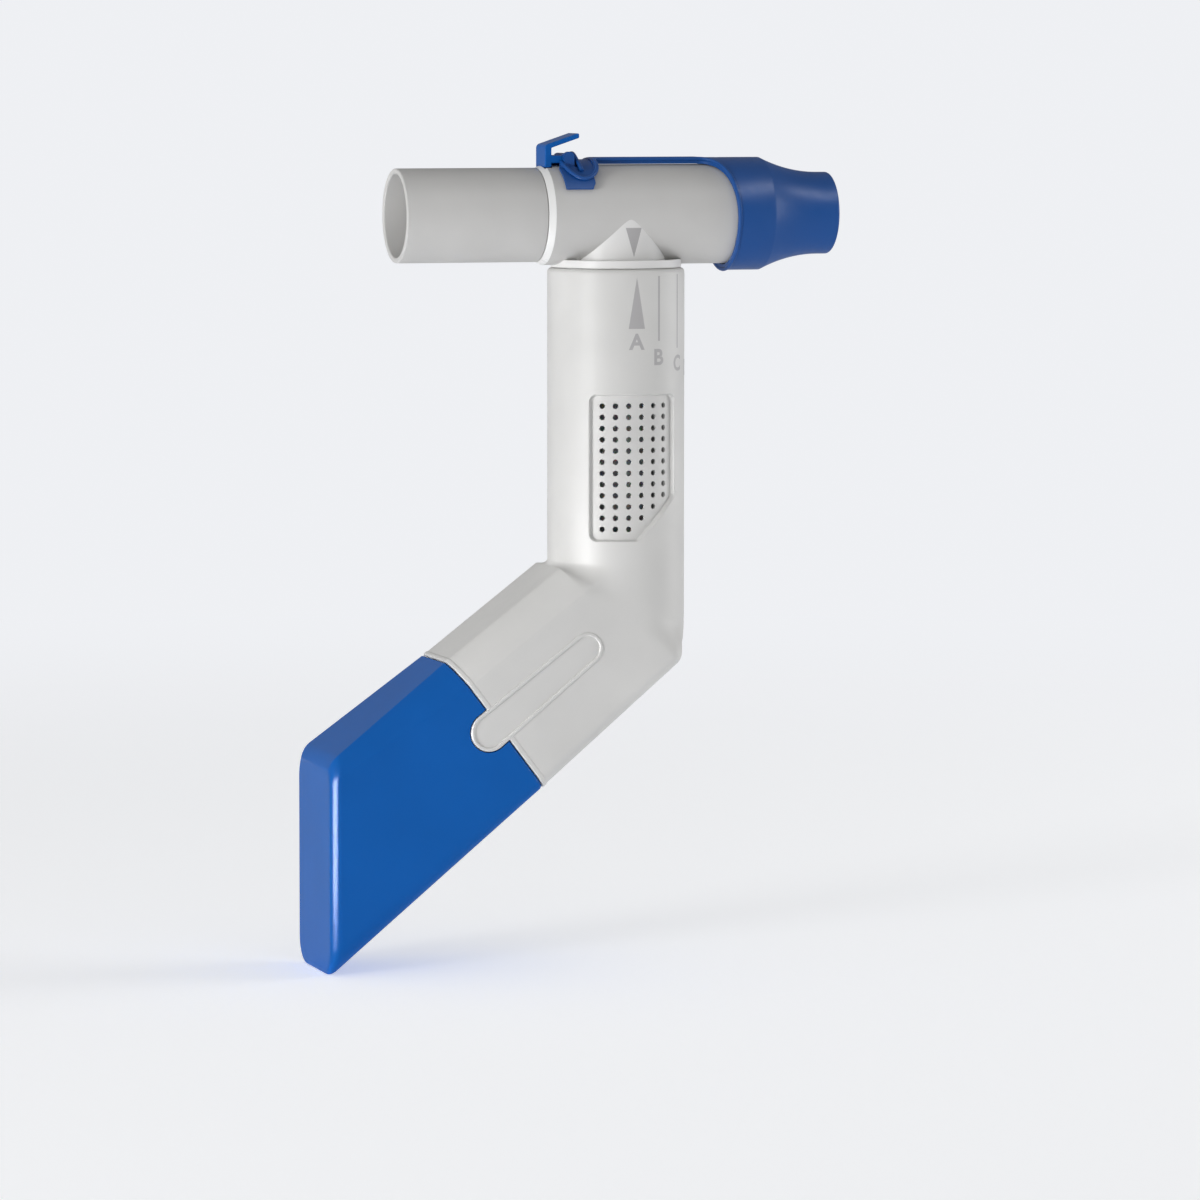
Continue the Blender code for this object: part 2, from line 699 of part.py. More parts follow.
def nebuliser_tube(parent):
    plug_r = TUBE_BORE_R - BORE_GAP
    plug_bore = plug_r - NEBULISER_PLUG_WALL
    groove_r = plug_r - SEAL_DEPTH
    groove_right = PLUG_END_X - SEAL_FROM_END + GAP
    groove_left = groove_right - SEAL_THICKNESS - 2 * GAP
    profile = [
        (NEBULISER_R, NEBULISER_END_X),
        (NEBULISER_R, NEBULISER_SHOULDER_X),
        (plug_r, NEBULISER_SHOULDER_X),
        (plug_r, groove_left),
        (groove_r, groove_left),
        (groove_r, groove_right),
        (plug_r, groove_right),
        (plug_r, PLUG_END_X),
        (plug_bore, PLUG_END_X),
        (plug_bore, NEBULISER_SHOULDER_X),
        (TUBE_BORE_R, NEBULISER_SHOULDER_X - (TUBE_BORE_R - plug_bore)),
        (TUBE_BORE_R, NEBULISER_END_X),
    ]
    return add("nebuliser_tube", turned(profile, "X"), parent, WHITE)


def nebuliser_seal(parent):
    groove_r = TUBE_BORE_R - BORE_GAP - SEAL_DEPTH
    high = PLUG_END_X - SEAL_FROM_END
    low = high - SEAL_THICKNESS
    ring = sleeve(TUBE_BORE_R - GAP / 2, groove_r + GAP / 2, low, high, "X", SMALL_STEPS)
    return add("nebuliser_seal", ring, parent, DARK_SEAL)


def inhalation_valve_seat(parent):
    """A disc with round windows, pushed into the tee next to the nebuliser tube."""
    disc = rod(TUBE_BORE_R - GAP, SEAT_X, SEAT_X + SEAT_THICKNESS, "X")
    seat = add("inhalation_valve_seat", disc, parent, WHITE)
    windows = bmesh.new()
    for index in range(SEAT_WINDOWS):
        angle = math.tau * (index + 0.5) / SEAT_WINDOWS
        centre = Vector((0, math.cos(angle), math.sin(angle))) * SEAT_WINDOW_CENTRE_R
        centre.x = SEAT_X + SEAT_THICKNESS / 2
        bmesh.ops.create_cone(
            windows,
            cap_ends=True,
            segments=PIN_STEPS,
            radius1=SEAT_WINDOW_R,
            radius2=SEAT_WINDOW_R,
            depth=SEAT_THICKNESS * 2,
            matrix=Matrix.Translation(centre) @ Matrix.Rotation(math.pi / 2, 4, "Y"),
        )
    cut(seat, "seat_windows_tool", windows)
    return seat


def inhalation_flap(parent):
    disc = rod(FLAP_R, FLAP_X, FLAP_X + FLAP_THICKNESS, "X", steps=SMALL_STEPS)
    return add("inhalation_flap", disc, parent, SILICONE)


def swivel_friction_ring(parent):
    """A rubber ring between the spigot and the neck, resting on the shelf."""
    half = (NECK_BORE_R - BRANCH_R) / 2 - GAP
    centre = ((NECK_BORE_R + BRANCH_R) / 2, SHELF_TOP_Z + GAP + half)
    last = math.tau * (1 - 1 / RING_SIDES)
    section = arc(centre, half, half, 0, last, RING_SIDES - 1)
    ring = turned(section, steps=SMALL_STEPS)
    return add("swivel_friction_ring", ring, parent, DARK_SEAL)


def swivel_retaining_ring(parent):
    high = SHELF_LOW_Z - GAP
    inner = BRANCH_R - RETAINER_GROOVE_DEPTH + GAP
    ring = sleeve(NECK_BORE_R - BORE_GAP, inner, high - RETAINER_THICKNESS, high)
    return add("swivel_retaining_ring", ring, parent, WHITE)


def hose_adapter(parent):
    bore = NOZZLE_R - ADAPTER_NOZZLE_WALL
    nozzle_end = NOZZLE_TOP_Z - ADAPTER_NOZZLE_LENGTH
    plug_top = ADAPTER_FLANGE_Z + ADAPTER_PLUG_LENGTH
    profile = [
        (ADAPTER_R, plug_top),
        (ADAPTER_R, ADAPTER_FLANGE_Z),
        (BRANCH_R, ADAPTER_FLANGE_Z),
        (BRANCH_R, NOZZLE_TOP_Z),
        (NOZZLE_R, NOZZLE_TOP_Z),
        (NOZZLE_R, nozzle_end),
        (bore, nozzle_end),
        (bore, NOZZLE_TOP_Z),
        (ADAPTER_R - ADAPTER_NOZZLE_WALL, plug_top),
    ]
    return add("hose_adapter", turned(profile, steps=SMALL_STEPS), parent, BLUE)


def hose_clamp(parent):
    inner = HOSE_R + GAP
    high = HOSE_TOP_Z - CLAMP_DROP
    ring = sleeve(inner + CLAMP_THICKNESS, inner, high - CLAMP_LENGTH, high, steps=SMALL_STEPS)
    return add("hose_clamp", ring, parent, WHITE)


def hose_route():
    """(centre, direction, flatness) from the nozzle down the neck and along the leg."""
    turn = math.pi / 2 - LEG_ANGLE
    run = JOINT_MIDDLE.x / LEG_AXIS.x
    bend_middle = JOINT_MIDDLE - LEG_AXIS * run
    tangent = HOSE_BEND_R * math.tan(turn / 2)
    bend_centre = bend_middle + Vector((-HOSE_BEND_R, 0, tangent))
    down = Vector((0, 0, -1))
    route = [(Vector((0, 0, HOSE_TOP_Z)), down, 0), (Vector((0, 0, bend_centre.z)), down, 0)]
    for step in range(1, ARC_STEPS + 1):
        angle = turn * step / ARC_STEPS
        spoke = Vector((math.cos(angle), 0, -math.sin(angle))) * HOSE_BEND_R
        heading = Vector((-math.sin(angle), 0, -math.cos(angle)))
        flatness = HOSE_FLATNESS_AT_BEND * step / ARC_STEPS
        route.append((bend_centre + spoke, heading, flatness))
    start = route[-1][0]
    end = JOINT_MIDDLE + LEG_AXIS * HOSE_REACH
    for step in range(1, HOSE_END_STEPS + 1):
        share = step / HOSE_END_STEPS
        flatness = HOSE_FLATNESS_AT_BEND + (1 - HOSE_FLATNESS_AT_BEND) * smoothstep(share)
        route.append((start.lerp(end, share), LEG_AXIS, flatness))
    return route


def hose_ring(centre, heading, flatness, inset):
    half_width = HOSE_R + (HOSE_FLAT_HALF_WIDTH - HOSE_R) * flatness - inset
    half_height = HOSE_R + (HOSE_FLAT_HALF_HEIGHT - HOSE_R) * flatness - inset
    upward = heading.cross(Vector((0, 1, 0)))
    ring = arc((0, 0), half_width, half_height, 0, math.tau, HOSE_RING_POINTS)[:-1]
    return [centre + Vector((0, across, 0)) + upward * height for across, height in ring]


def valve_hose(parent):
    """The soft hose that flutters. It is round on the nozzle and flat at its free end."""
    route = hose_route()
    rings = [hose_ring(*place, 0) for place in route]
    rings += [hose_ring(*place, HOSE_WALL) for place in reversed(route)]
    return add("valve_hose", loft(rings, looped=True), parent, SILICONE)


def mouthpiece_outline():
    """The unrolled strap, latch saddle and collar, as (x, distance round from the crest)."""
    sweep_x = COLLAR_EDGE_X - EDGE_SWEEP_ALONG
    sweep_around = STRAP_HALF_WIDTH + EDGE_SWEEP_AROUND
    lobe_x = (SADDLE_LEFT_X + SADDLE_RIGHT_X) / 2
    lobe_half = (SADDLE_RIGHT_X - SADDLE_LEFT_X) / 2
    notch_x = PIVOT_X + BARREL_R + BORE_GAP
    notch_side = LEVER_HALF_WIDTH + GAP
    fillet = (SADDLE_RIGHT_X + SADDLE_FILLET, STRAP_HALF_WIDTH + SADDLE_FILLET)
    half = [(TAPER_START_X, math.pi * STRAP_MID_R), (COLLAR_EDGE_X, math.pi * STRAP_MID_R)]
    half += arc(
        (sweep_x, sweep_around), EDGE_SWEEP_ALONG, EDGE_SWEEP_AROUND, 0, -math.pi / 2, 2 * ARC_STEPS
    )
    half += arc(fillet, SADDLE_FILLET, SADDLE_FILLET, -math.pi / 2, -math.pi, 3)
    half += arc((lobe_x, SADDLE_STRAIGHT), lobe_half, SADDLE_LOBE, 0, math.pi, 2 * ARC_STEPS)
    half += [(SADDLE_LEFT_X, notch_side), (notch_x, notch_side)]
    return half + [(x, -around) for x, around in reversed(half)]


def taper_radius(x):
    share = max(0, (LIP_START_X - x) / (LIP_START_X - TAPER_START_X))
    return MOUTH_R + (STRAP_R - MOUTH_R) * share**2


def mouthpiece_shell():
    """The collar with its strap and saddle, closed by the turned taper at its +X end."""
    shape = wrapped(
        mouthpiece_outline(), STRAP_INNER_R, STRAP_R, "X", STRAP_MID_R, closed_end=TAPER_START_X
    )
    outside = []
    for step in range(TAPER_STEPS + 1):
        x = TAPER_START_X + (LIP_START_X - TAPER_START_X) * step / TAPER_STEPS
        outside.append((taper_radius(x), x))
    inside_start = (STRAP_INNER_R, TAPER_START_X)
    inside = [(radius - MOUTH_WALL, x) for radius, x in outside[1:]]
    tip = [
        (MOUTH_R, MOUTHPIECE_END_X - MOUTH_EDGE_R),
        (MOUTH_R - MOUTH_EDGE_R, MOUTHPIECE_END_X),
        (MOUTH_R - MOUTH_WALL, MOUTHPIECE_END_X),
    ]
    profile = outside + tip + inside[::-1] + [inside_start]
    rows = []
    for index in range(TURN_STEPS):
        angle = math.tau * index / TURN_STEPS
        rows.append(
            [(x, -radius * math.sin(angle), radius * math.cos(angle)) for radius, x in profile]
        )
    verts = [[shape.verts.new(point) for point in row] for row in rows]
    for first, second in zip(verts, verts[1:] + verts[:1]):
        for index in range(len(profile) - 1):
            shape.faces.new((first[index], first[index + 1], second[index + 1], second[index]))
    bmesh.ops.remove_doubles(shape, verts=shape.verts, dist=MERGE)
    return shape


def ear_outline(side):
    top = EAR_TOP_ANGLE * STRAP_MID_R * side
    low = EAR_ANGLE * STRAP_MID_R * side
    chamfer = EAR_CHAMFER * side
    return [
        (EAR_LEFT_X, top),
        (EAR_LEFT_X + EAR_CHAMFER / 2, low),
        (EAR_RIGHT_X - EAR_CHAMFER, low),
        (EAR_RIGHT_X, low - 2 * chamfer),
        (EAR_RIGHT_X, top),
    ]


def lug_outline(inside, outside):
    """An ear that stands on the saddle, its foot sunk to the middle of the saddle's wall."""
    outline = arc((PIVOT_X, PIVOT_Z), LUG_R, LUG_R, 0, math.pi, 2 * ARC_STEPS)
    wall_low = math.sqrt(STRAP_INNER_R**2 - inside**2)
    wall_high = math.sqrt(STRAP_R**2 - outside**2)
    base_z = (wall_low + wall_high) / 2
    return outline + [(PIVOT_X - LUG_R, base_z), (PIVOT_X + LUG_R, base_z)]


def mouthpiece(parent):
    piece = add("mouthpiece", mouthpiece_shell(), parent, BLUE)
    ear_inner = STRAP_INNER_R + EAR_LIFT
    ear_outer = ear_inner + EAR_THICKNESS
    lug_inside = LEVER_HALF_WIDTH + 2 * GAP
    lug_outside = lug_inside + LUG_THICKNESS
    for side, label in ((1, "front"), (-1, "back")):
        ear = wrapped(ear_outline(side), ear_inner, ear_outer, "X", STRAP_MID_R, steps=EAR_STEPS)
        join(piece, label + "_ear_tool", ear, "MANIFOLD")
        lug = prism(lug_outline(lug_inside, lug_outside), -lug_outside, -lug_inside)
        lug = lug if side == 1 else mirrored(lug)
        join(piece, label + "_lug_tool", lug, "MANIFOLD")
    reach = lug_outside + CUT_EXTRA
    hole = rod(TRUNNION_R + GAP, -reach, reach, "Y", (PIVOT_X, 0, PIVOT_Z), PIN_STEPS)
    cut(piece, "trunnion_hole_tool", hole, "MANIFOLD")
    vent = rod(VENT_R, TEE_R, STRAP_R + CUT_EXTRA, centre=(VENT_X, 0, 0), steps=PIN_STEPS)
    cut(piece, "vent_tool", vent, "MANIFOLD")
    return piece


def release_lever(parent):
    """A see-saw: its foot drops into the tee's pocket and its tab is pressed to lift it."""
    right = POST_LEFT_X + POST_THICKNESS
    foot_z = TEE_R - POCKET_DEPTH + GAP
    rise = math.tan(TAB_ANGLE)
    tab_top = POST_TOP_Z + TAB_THICKNESS / math.cos(TAB_ANGLE)
    arm_low = PIVOT_Z - ARM_THICKNESS / 2
    arm_high = PIVOT_Z + ARM_THICKNESS / 2
    outline = rounded(
        [
            (POST_LEFT_X, foot_z, 0),
            (right, foot_z, 0),
            (right, arm_low, 0),
            (PIVOT_X, arm_low, 0),
            (PIVOT_X, arm_high, 0),
            (right, arm_high, 0),
            (right, POST_TOP_Z, 0),
            (TAB_END_X, POST_TOP_Z + (TAB_END_X - right) * rise, TAB_EDGE_R),
            (TAB_END_X, tab_top + (TAB_END_X - right) * rise, TAB_EDGE_R),
            (POST_LEFT_X, tab_top - POST_THICKNESS * rise, TAB_THICKNESS),
        ]
    )
    lever = add(
        "release_lever", prism(outline, -LEVER_HALF_WIDTH, LEVER_HALF_WIDTH), parent, BLUE
    )
    pivot = (PIVOT_X, 0, PIVOT_Z)
    half = LEVER_HALF_WIDTH - GAP / 2
    join(lever, "barrel_tool", rod(BARREL_R, -half, half, "Y", pivot, PIN_STEPS))
    end = LEVER_HALF_WIDTH + 2 * GAP + LUG_THICKNESS - GAP
    join(lever, "trunnion_tool", rod(TRUNNION_R, -end, end, "Y", pivot, PIN_STEPS))
    return lever


def build():
    clear_scene()
    lowest = min(point.z for ring in cap_outer_rings() for point in ring)
    middle_x = (CAP_END_X + MOUTHPIECE_END_X) / 2
    device = empty("device", (0, 0, 0))
    device.location = (-middle_x, 0, -lowest)
    swivel = empty("swivel_axis", (0, 0, NECK_TOP_Z), device)
    cap_slide = empty("cap_slide_axis", JOINT_MIDDLE, device)
    tube_slide = empty("nebuliser_slide_axis", (TEE_LEFT_X, 0, 0), swivel)
    flap_hinge = empty("flap_hinge_axis", (FLAP_X, 0, FLAP_R), swivel)
    lever_pivot = empty("lever_pivot_axis", (PIVOT_X, 0, PIVOT_Z), swivel)
    housing(device)
    valve_hose(device)
    swivel_friction_ring(device)
    end_cap(cap_slide)
    tee_body(swivel)
    swivel_retaining_ring(swivel)
    hose_adapter(swivel)
    hose_clamp(swivel)
    inhalation_valve_seat(swivel)
    mouthpiece(swivel)
    nebuliser_tube(tube_slide)
    nebuliser_seal(tube_slide)
    inhalation_flap(flap_hinge)
    release_lever(lever_pivot)


build()
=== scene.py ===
"""Looks of an oscillating positive expiratory pressure device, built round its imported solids.

Metres. Every shape is drawn in the device's own frame, whose origin is where the breathing
tube's axis crosses the swivel axis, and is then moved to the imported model's frame. X runs to
the mouthpiece, -Y is the front with the setting scale and the leg points down to -X.
"""

import json
import math

import bmesh
import bpy
import numpy as np
from mathutils import Matrix, Vector

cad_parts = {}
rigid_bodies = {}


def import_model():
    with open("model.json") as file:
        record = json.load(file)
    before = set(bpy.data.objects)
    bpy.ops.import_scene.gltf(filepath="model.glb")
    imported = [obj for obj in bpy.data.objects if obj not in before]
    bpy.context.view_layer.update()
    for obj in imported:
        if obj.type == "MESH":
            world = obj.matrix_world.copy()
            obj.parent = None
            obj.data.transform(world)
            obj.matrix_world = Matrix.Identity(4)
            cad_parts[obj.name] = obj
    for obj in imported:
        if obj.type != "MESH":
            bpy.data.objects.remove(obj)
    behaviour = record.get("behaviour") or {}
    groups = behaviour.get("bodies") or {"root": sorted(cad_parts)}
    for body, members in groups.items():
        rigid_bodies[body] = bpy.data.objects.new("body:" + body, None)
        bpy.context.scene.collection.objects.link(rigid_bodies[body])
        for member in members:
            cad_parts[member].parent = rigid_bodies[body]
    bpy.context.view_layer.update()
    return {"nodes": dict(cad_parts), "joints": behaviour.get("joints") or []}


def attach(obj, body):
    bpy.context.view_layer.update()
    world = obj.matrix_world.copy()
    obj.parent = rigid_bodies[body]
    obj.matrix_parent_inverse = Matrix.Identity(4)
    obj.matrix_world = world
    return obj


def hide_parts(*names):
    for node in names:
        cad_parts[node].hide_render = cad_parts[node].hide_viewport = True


for thing in list(bpy.data.objects):
    bpy.data.objects.remove(thing)
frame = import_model()

# Clearances and resolution
GAP = 0.0003
MERGE = 0.0000005
TURN_STEPS = 180
SMALL_STEPS = 48
ARC_STEPS = 8
SHARP_ANGLE = math.radians(32)
TEE_SHARP_ANGLE = math.radians(6)
TEE_ARC_STEPS = 18
BEAD_SIDES = 10
BEAD_TIP_SHARE = 0.4
BEAD_SIDE = (0.3, 0.4, 1)
BEVEL_SEGMENTS = 3

# Breathing tube
TUBE_BORE_R = 0.0110
TEE_R = 0.0133
TEE_LEFT_X = -0.0224
TEE_RIGHT_X = 0.0387
TEE_SHOULDER_X = -0.0206
TEE_SHOULDER_R = 0.0010
TEE_TIP_R = 0.0002
NEBULISER_R = 0.0125
NEBULISER_END_X = -0.0612
NEBULISER_PLUG_R = 0.0106
NEBULISER_PLUG_BORE_R = 0.0088
NEBULISER_PLUG_LENGTH = 0.0105
RIM_EDGE_R = 0.0005
SEAM_WIDTH = 0.0001

# Swivel branch and flange
BRANCH_R = 0.01325
BRANCH_BORE_R = 0.0109
FLANGE_R = 0.0174
FLANGE_LOW_Z = -0.0138
FLANGE_FOOT_Z = -0.0140
FLANGE_LEDGE_Z = -0.0126
FLANGE_LIP_Z = -0.0118
FLANGE_LIP_WIDTH = 0.0010
FLANGE_EDGE_R = 0.00030
SPIGOT_END_Z = -0.0310

# Housing
NECK_R = 0.0183
NECK_TOP_Z = FLANGE_LOW_Z - GAP
NECK_EDGE_R = 0.0012
HOUSING_WALL = 0.0020
SHELF_TOP_Z = -0.0196
SHELF_LOW_Z = -0.0218
ELBOW_Z = -0.0929
ELBOW_INNER_R = 0.0020
ELBOW_SOFTNESS = 0.0011
ELBOW_STEPS = 36
LOW_FLAT_FROM = 0.5
LOW_FLAT_TO = 0.75
LEG_ANGLE = math.radians(37.2)
LEG_FLARE = math.radians(3.0)
LEG_HEIGHT = 0.0422
LEG_HALF_DEPTH = 0.0179
LEG_LENGTH = 0.0404
CREASE_AT_JOINT = 0.0105
CREASE_AT_END = 0.0150
SHOULDER_AT_JOINT = 0.0076
SHOULDER_AT_END = 0.0056
FOOT_R = 0.0040
CREASE_INSET_SHARE = 0.6
SHOULDER_INSET_SHARE = 0.5
FOOT_INSET_SHARE = 0.8
SECTION_STEPS = 24
SHOULDER_TURN = math.radians(40)
FINE_HALF_ANGLE = math.radians(46)
FINE_STEP = math.radians(0.8)
COARSE_STEP = math.radians(2.2)
FINE_RING_STEP = 0.00025
COARSE_RING_STEP = 0.0030
LEG_RING_PLACES = (0.001, 0.003, 0.007, 0.020, 0.033)

# Joint of the leg and its cap
COLLAR_LENGTH = 0.0080
COLLAR_WALL = 0.0014
COLLAR_ROOT = 0.0040
CAP_WALL = 0.0020
CAP_END_X = -0.0836
CAP_EDGE_R = 0.0027
CAP_EDGE_STEPS = 18
CAP_FACE_INSET_SHARE = 1.3
CAP_RING_SHARES = (0.03, 0.1, 0.3, 0.5, 0.7, 0.9, 0.97)
CAP_FOOT_R = 0.0080
CAP_SHARP_ANGLE = math.radians(9)
CAP_LENGTH = 0.040
MOUTH_EDGE_R = 0.0003
SEAM_BEAD_HALF_WIDTH = 0.0007
SEAM_BEAD_HEIGHT = 0.0002
TONGUE_R = 0.00515
TONGUE_DEPTH = 0.0014
TONGUE_BEAD_HALF_WIDTH = 0.00055
TONGUE_BEAD_HEIGHT = 0.0005
TONGUE_PLATE_DEPTH = 0.00012
TONGUE_PLATE_INSET = 0.00165
TONGUE_RECESS = 0.0004
TONGUE_PLACE = (0.0031, 0.00055)
PILL_FAR_R = 0.0044
PILL_FAR_PLACE = (-0.0313, 0.0012)

# Air outlet grilles
GRILLE_TOP_Z = -0.0474
GRILLE_LOW_Z = -0.0859
GRILLE_CUT_Z = -0.0745
GRILLE_HALF_ANGLE = math.radians(40)
GRILLE_CUT_ANGLE = math.radians(1)
GRILLE_RECESS = 0.0013
GRILLE_CORNER_R = 0.0020
GRILLE_EDGE = 0.0004
GRILLE_MARGIN = 0.0010
HOLE_R = 0.00075
HOLE_SIDES = 16
HOLE_TOP_Z = -0.05025
HOLE_PITCH = 0.00297
HOLE_ROWS = 12
HOLE_COLUMNS = 6
HOLE_STEP_ANGLE = math.radians(12.03)
HOLE_SHORT_COLUMNS = 3

# Mouthpiece and its latch saddle
STRAP_INNER_R = TEE_R + GAP
STRAP_THICKNESS = 0.0015
STRAP_R = STRAP_INNER_R + STRAP_THICKNESS
STRAP_MID_R = STRAP_INNER_R + STRAP_THICKNESS / 2
STRAP_HALF_WIDTH = 0.0024
COLLAR_EDGE_X = 0.0298
TAPER_START_X = 0.0397
LIP_START_X = 0.0566
MOUTHPIECE_END_X = 0.0596
MOUTH_R = 0.0110
MOUTH_WALL = 0.0014
MOUTH_LIP_R = 0.0007
TAPER_STEPS = 24
COLLAR_EDGE_STEPS = 12
EDGE_SWEEP_ALONG = 0.0080
EDGE_SWEEP_AROUND = 0.0220
SADDLE_LEFT_X = -0.0171
SADDLE_RIGHT_X = -0.0077
SADDLE_STRAIGHT = 0.0050
SADDLE_LOBE = 0.0072
SADDLE_FILLET = 0.0012
EDGE_BEAD_R = 0.00055
EDGE_BEAD_SINK = 0.0002
SADDLE_RECESS = 0.0004
SADDLE_MARGIN = 0.0006
HOOK_LEFT_X = -0.0129
HOOK_RIGHT_X = -0.0119
HOOK_ANGLE = math.radians(38)
HOOK_SPREAD = math.radians(14)
HOOK_HIGH = 0.0017
HOOK_LOW = 0.0004
HOOK_EDGE_R = 0.00035
HOOK_STEPS = 40
SLOT_LEFT_X = -0.0137
SLOT_REACH = 0.0096
SLOT_FLOOR = 0.0002
EAR_LEFT_X = -0.0179
EAR_RIGHT_X = -0.0093
EAR_ANGLE = math.radians(60)
EAR_TOP_ANGLE = math.radians(28)
EAR_CHAMFER = 0.0008
EAR_LIFT = 0.00015
EAR_THICKNESS = 0.0007
VENT_X = 0.0285
VENT_R = 0.0010

# Release lever
LEVER_HALF_WIDTH = 0.00425
POST_LEFT_X = -0.0210
POST_THICKNESS = 0.0018
POST_TOP_Z = 0.0178
POST_FOOT_Z = 0.0126
TAB_ANGLE = math.radians(18.6)
TAB_END_X = -0.0115
TAB_THICKNESS = 0.0013
TAB_EDGE_R = 0.0004
PIVOT_X = -0.0150
PIVOT_Z = 0.0151
BARREL_R = 0.0013
ARM_THICKNESS = 0.0014
TRUNNION_R = 0.0007
LUG_R = 0.0014
LUG_RISE = 0.0003
BACK_LUG_TOP_Z = 0.0157
ARM_LOW_Z = 0.01375
LUG_THICKNESS = 0.0016
LEVER_BEVEL = 0.00025

# Setting scale on the neck. The arrow A faces the front, and each line has
# (angle from the front, top of the line, its low end, top of its letter).
INK_HEIGHT = 0.00001
INK_SINK = 0.00005
LINE_WIDTH = 0.0006
ARROW_WIDTH = 0.0045
LETTER_HEIGHT = 0.0043
LETTER_WEIGHT = 0.03
ARROW_TOP_Z = -0.0162
ARROW_LOW_Z = -0.0298
ARROW_LETTER_TOP_Z = -0.03105
LINE_MARKS = {
    "B": (math.radians(20.8), -0.0159, -0.0331, -0.0352),
    "C": (math.radians(45), -0.0156, -0.0352, -0.0370),
    "D": (math.radians(70), -0.0156, -0.0365, -0.0385),
}
POINTER_WIDTH = 0.0045
POINTER_AROUND = 0.0008
POINTER_TOP_Z = -0.0033
POINTER_LOW_Z = -0.0110

# Camera of the photograph, in the device's frame
CAMERA_TARGET = Vector((-0.015, 0, -0.080))
CAMERA_DISTANCE = 1.6002
CAMERA_TURN = math.radians(17.33)
CAMERA_PITCH = math.radians(4.29)
CAMERA_LENS = 180
SENSOR_WIDTH = 36
CAMERA_SHIFT = (0.0316, -0.0709)

# Finish of the mouldings, with noise scales per metre
FLOW_SCALE = 45
FLOW_SHADE = 0.04
GLOSS_SCALE = 420
GLOSS_SPREAD = 0.12
GRAIN_SCALE = 2600
GRAIN_STRENGTH = 0.35
GRAIN_DEPTH = 0.00002
INK_GRAIN_DEPTH = 0.000005
FLOW_DETAIL = 2
FINE_DETAIL = 3
NOISE_LOW = 0.3
NOISE_HIGH = 0.7

# Room and light
BACKDROP = (0.86, 0.872, 0.90, 1)
FLOOR_COLOUR = (0.93, 0.935, 0.945, 1)
FLOOR_ROUGHNESS = 0.9
TABLE_GLOW = 0.46
GLOSSY_SHARE = 0.15
FLOOR_FADE = (0.3, 1.0)
FLOOR_HALF = 30
FAR_FLOOR_LIGHT = 0.6
LIGHT_FROM = (-0.78, -0.36, 0.45)
WORLD_RANGE = (0.05, 0.48)

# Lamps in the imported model's frame, each with its place, (width, height), power and aim
DEVICE_MIDDLE = (0, 0, 0.12)
CAP_EDGE_PLACE = (-0.07, -0.018, 0.034)
LEFT_SOFTBOX = ((-1.40, -0.70, 0.18), (0.40, 0.34), 12.4, DEVICE_MIDDLE)
RIGHT_SOFTBOX = ((1.5, -0.15, 0.36), (1.0, 0.7), 10, DEVICE_MIDDLE)
EDGE_STRIP = ((-0.159, -0.062, 0.034), (0.10, 0.066), 1.5, CAP_EDGE_PLACE)
FRONT_STRIP = ((1.05, -1.16, 1.73), (2.0, 0.5), 28, DEVICE_MIDDLE)

# Sizes that follow from the ones above
NEBULISER_SHOULDER_X = TEE_LEFT_X - SEAM_WIDTH
SADDLE_MIDDLE_X = (SADDLE_LEFT_X + SADDLE_RIGHT_X) / 2
SADDLE_HALF_LENGTH = (SADDLE_RIGHT_X - SADDLE_LEFT_X) / 2
LEG_AXIS = Vector((-math.cos(LEG_ANGLE), 0, -math.sin(LEG_ANGLE)))
LEG_UP = Vector((-math.sin(LEG_ANGLE), 0, math.cos(LEG_ANGLE)))
ELBOW_CORNER = Vector((-NECK_R, 0, ELBOW_Z))
JOINT_TOP = ELBOW_CORNER + LEG_AXIS * LEG_LENGTH
JOINT_LOW = JOINT_TOP - LEG_UP * LEG_HEIGHT
JOINT_MIDDLE = (JOINT_TOP + JOINT_LOW) / 2
LOW_AXIS = Matrix.Rotation(-LEG_FLARE, 3, "Y") @ LEG_AXIS
LOW_UP = Matrix.Rotation(-LEG_FLARE, 3, "Y") @ LEG_UP
SWIVEL = next(Vector(joint["pos_m"]) for joint in frame["joints"] if joint["name"] == "tee_swivel")
PLACE = SWIVEL - Vector((0, 0, NECK_TOP_Z))


def column_angles():
    """Angles round a section from its +Y side, close together where the grilles lie."""
    side = np.arange(-FINE_HALF_ANGLE, FINE_HALF_ANGLE, FINE_STEP)
    rest = np.arange(FINE_HALF_ANGLE, math.pi - FINE_HALF_ANGLE, COARSE_STEP)
    half = np.concatenate([side, rest])
    return np.concatenate([half, half + math.pi])


COLUMNS = column_angles()


# Shape helpers


def between(start, end, share):
    return start + (end - start) * share


def smoothstep(value):
    value = np.clip(value, 0, 1)
    return value * value * (3 - 2 * value)


def arc(centre, radius_a, radius_b, start, end, steps=ARC_STEPS):
    """Points of an elliptic arc from one angle to another, both ends included."""
    angles = [start + (end - start) * step / steps for step in range(steps + 1)]
    return [
        (centre[0] + radius_a * math.cos(angle), centre[1] + radius_b * math.sin(angle))
        for angle in angles
    ]


def rounded(corners, steps=ARC_STEPS):
    """An outline whose (x, y, radius) corners are rounded."""
    outline = []
    for index, (x, y, radius) in enumerate(corners):
        corner = Vector((x, y))
        before = (Vector(corners[index - 1][:2]) - corner).normalized()
        after = (Vector(corners[(index + 1) % len(corners)][:2]) - corner).normalized()
        if radius == 0:
            outline.append((x, y))
            continue
        half = before.angle(after) / 2
        centre = corner + (before + after).normalized() * radius / math.sin(half)
        first = corner + before * radius / math.tan(half) - centre
        turn = first.angle_signed(corner + after * radius / math.tan(half) - centre)
        for step in range(steps + 1):
            spoke = first.copy()
            spoke.rotate(Matrix.Rotation(-turn * step / steps, 2))
            outline.append(tuple(centre + spoke))
    return outline


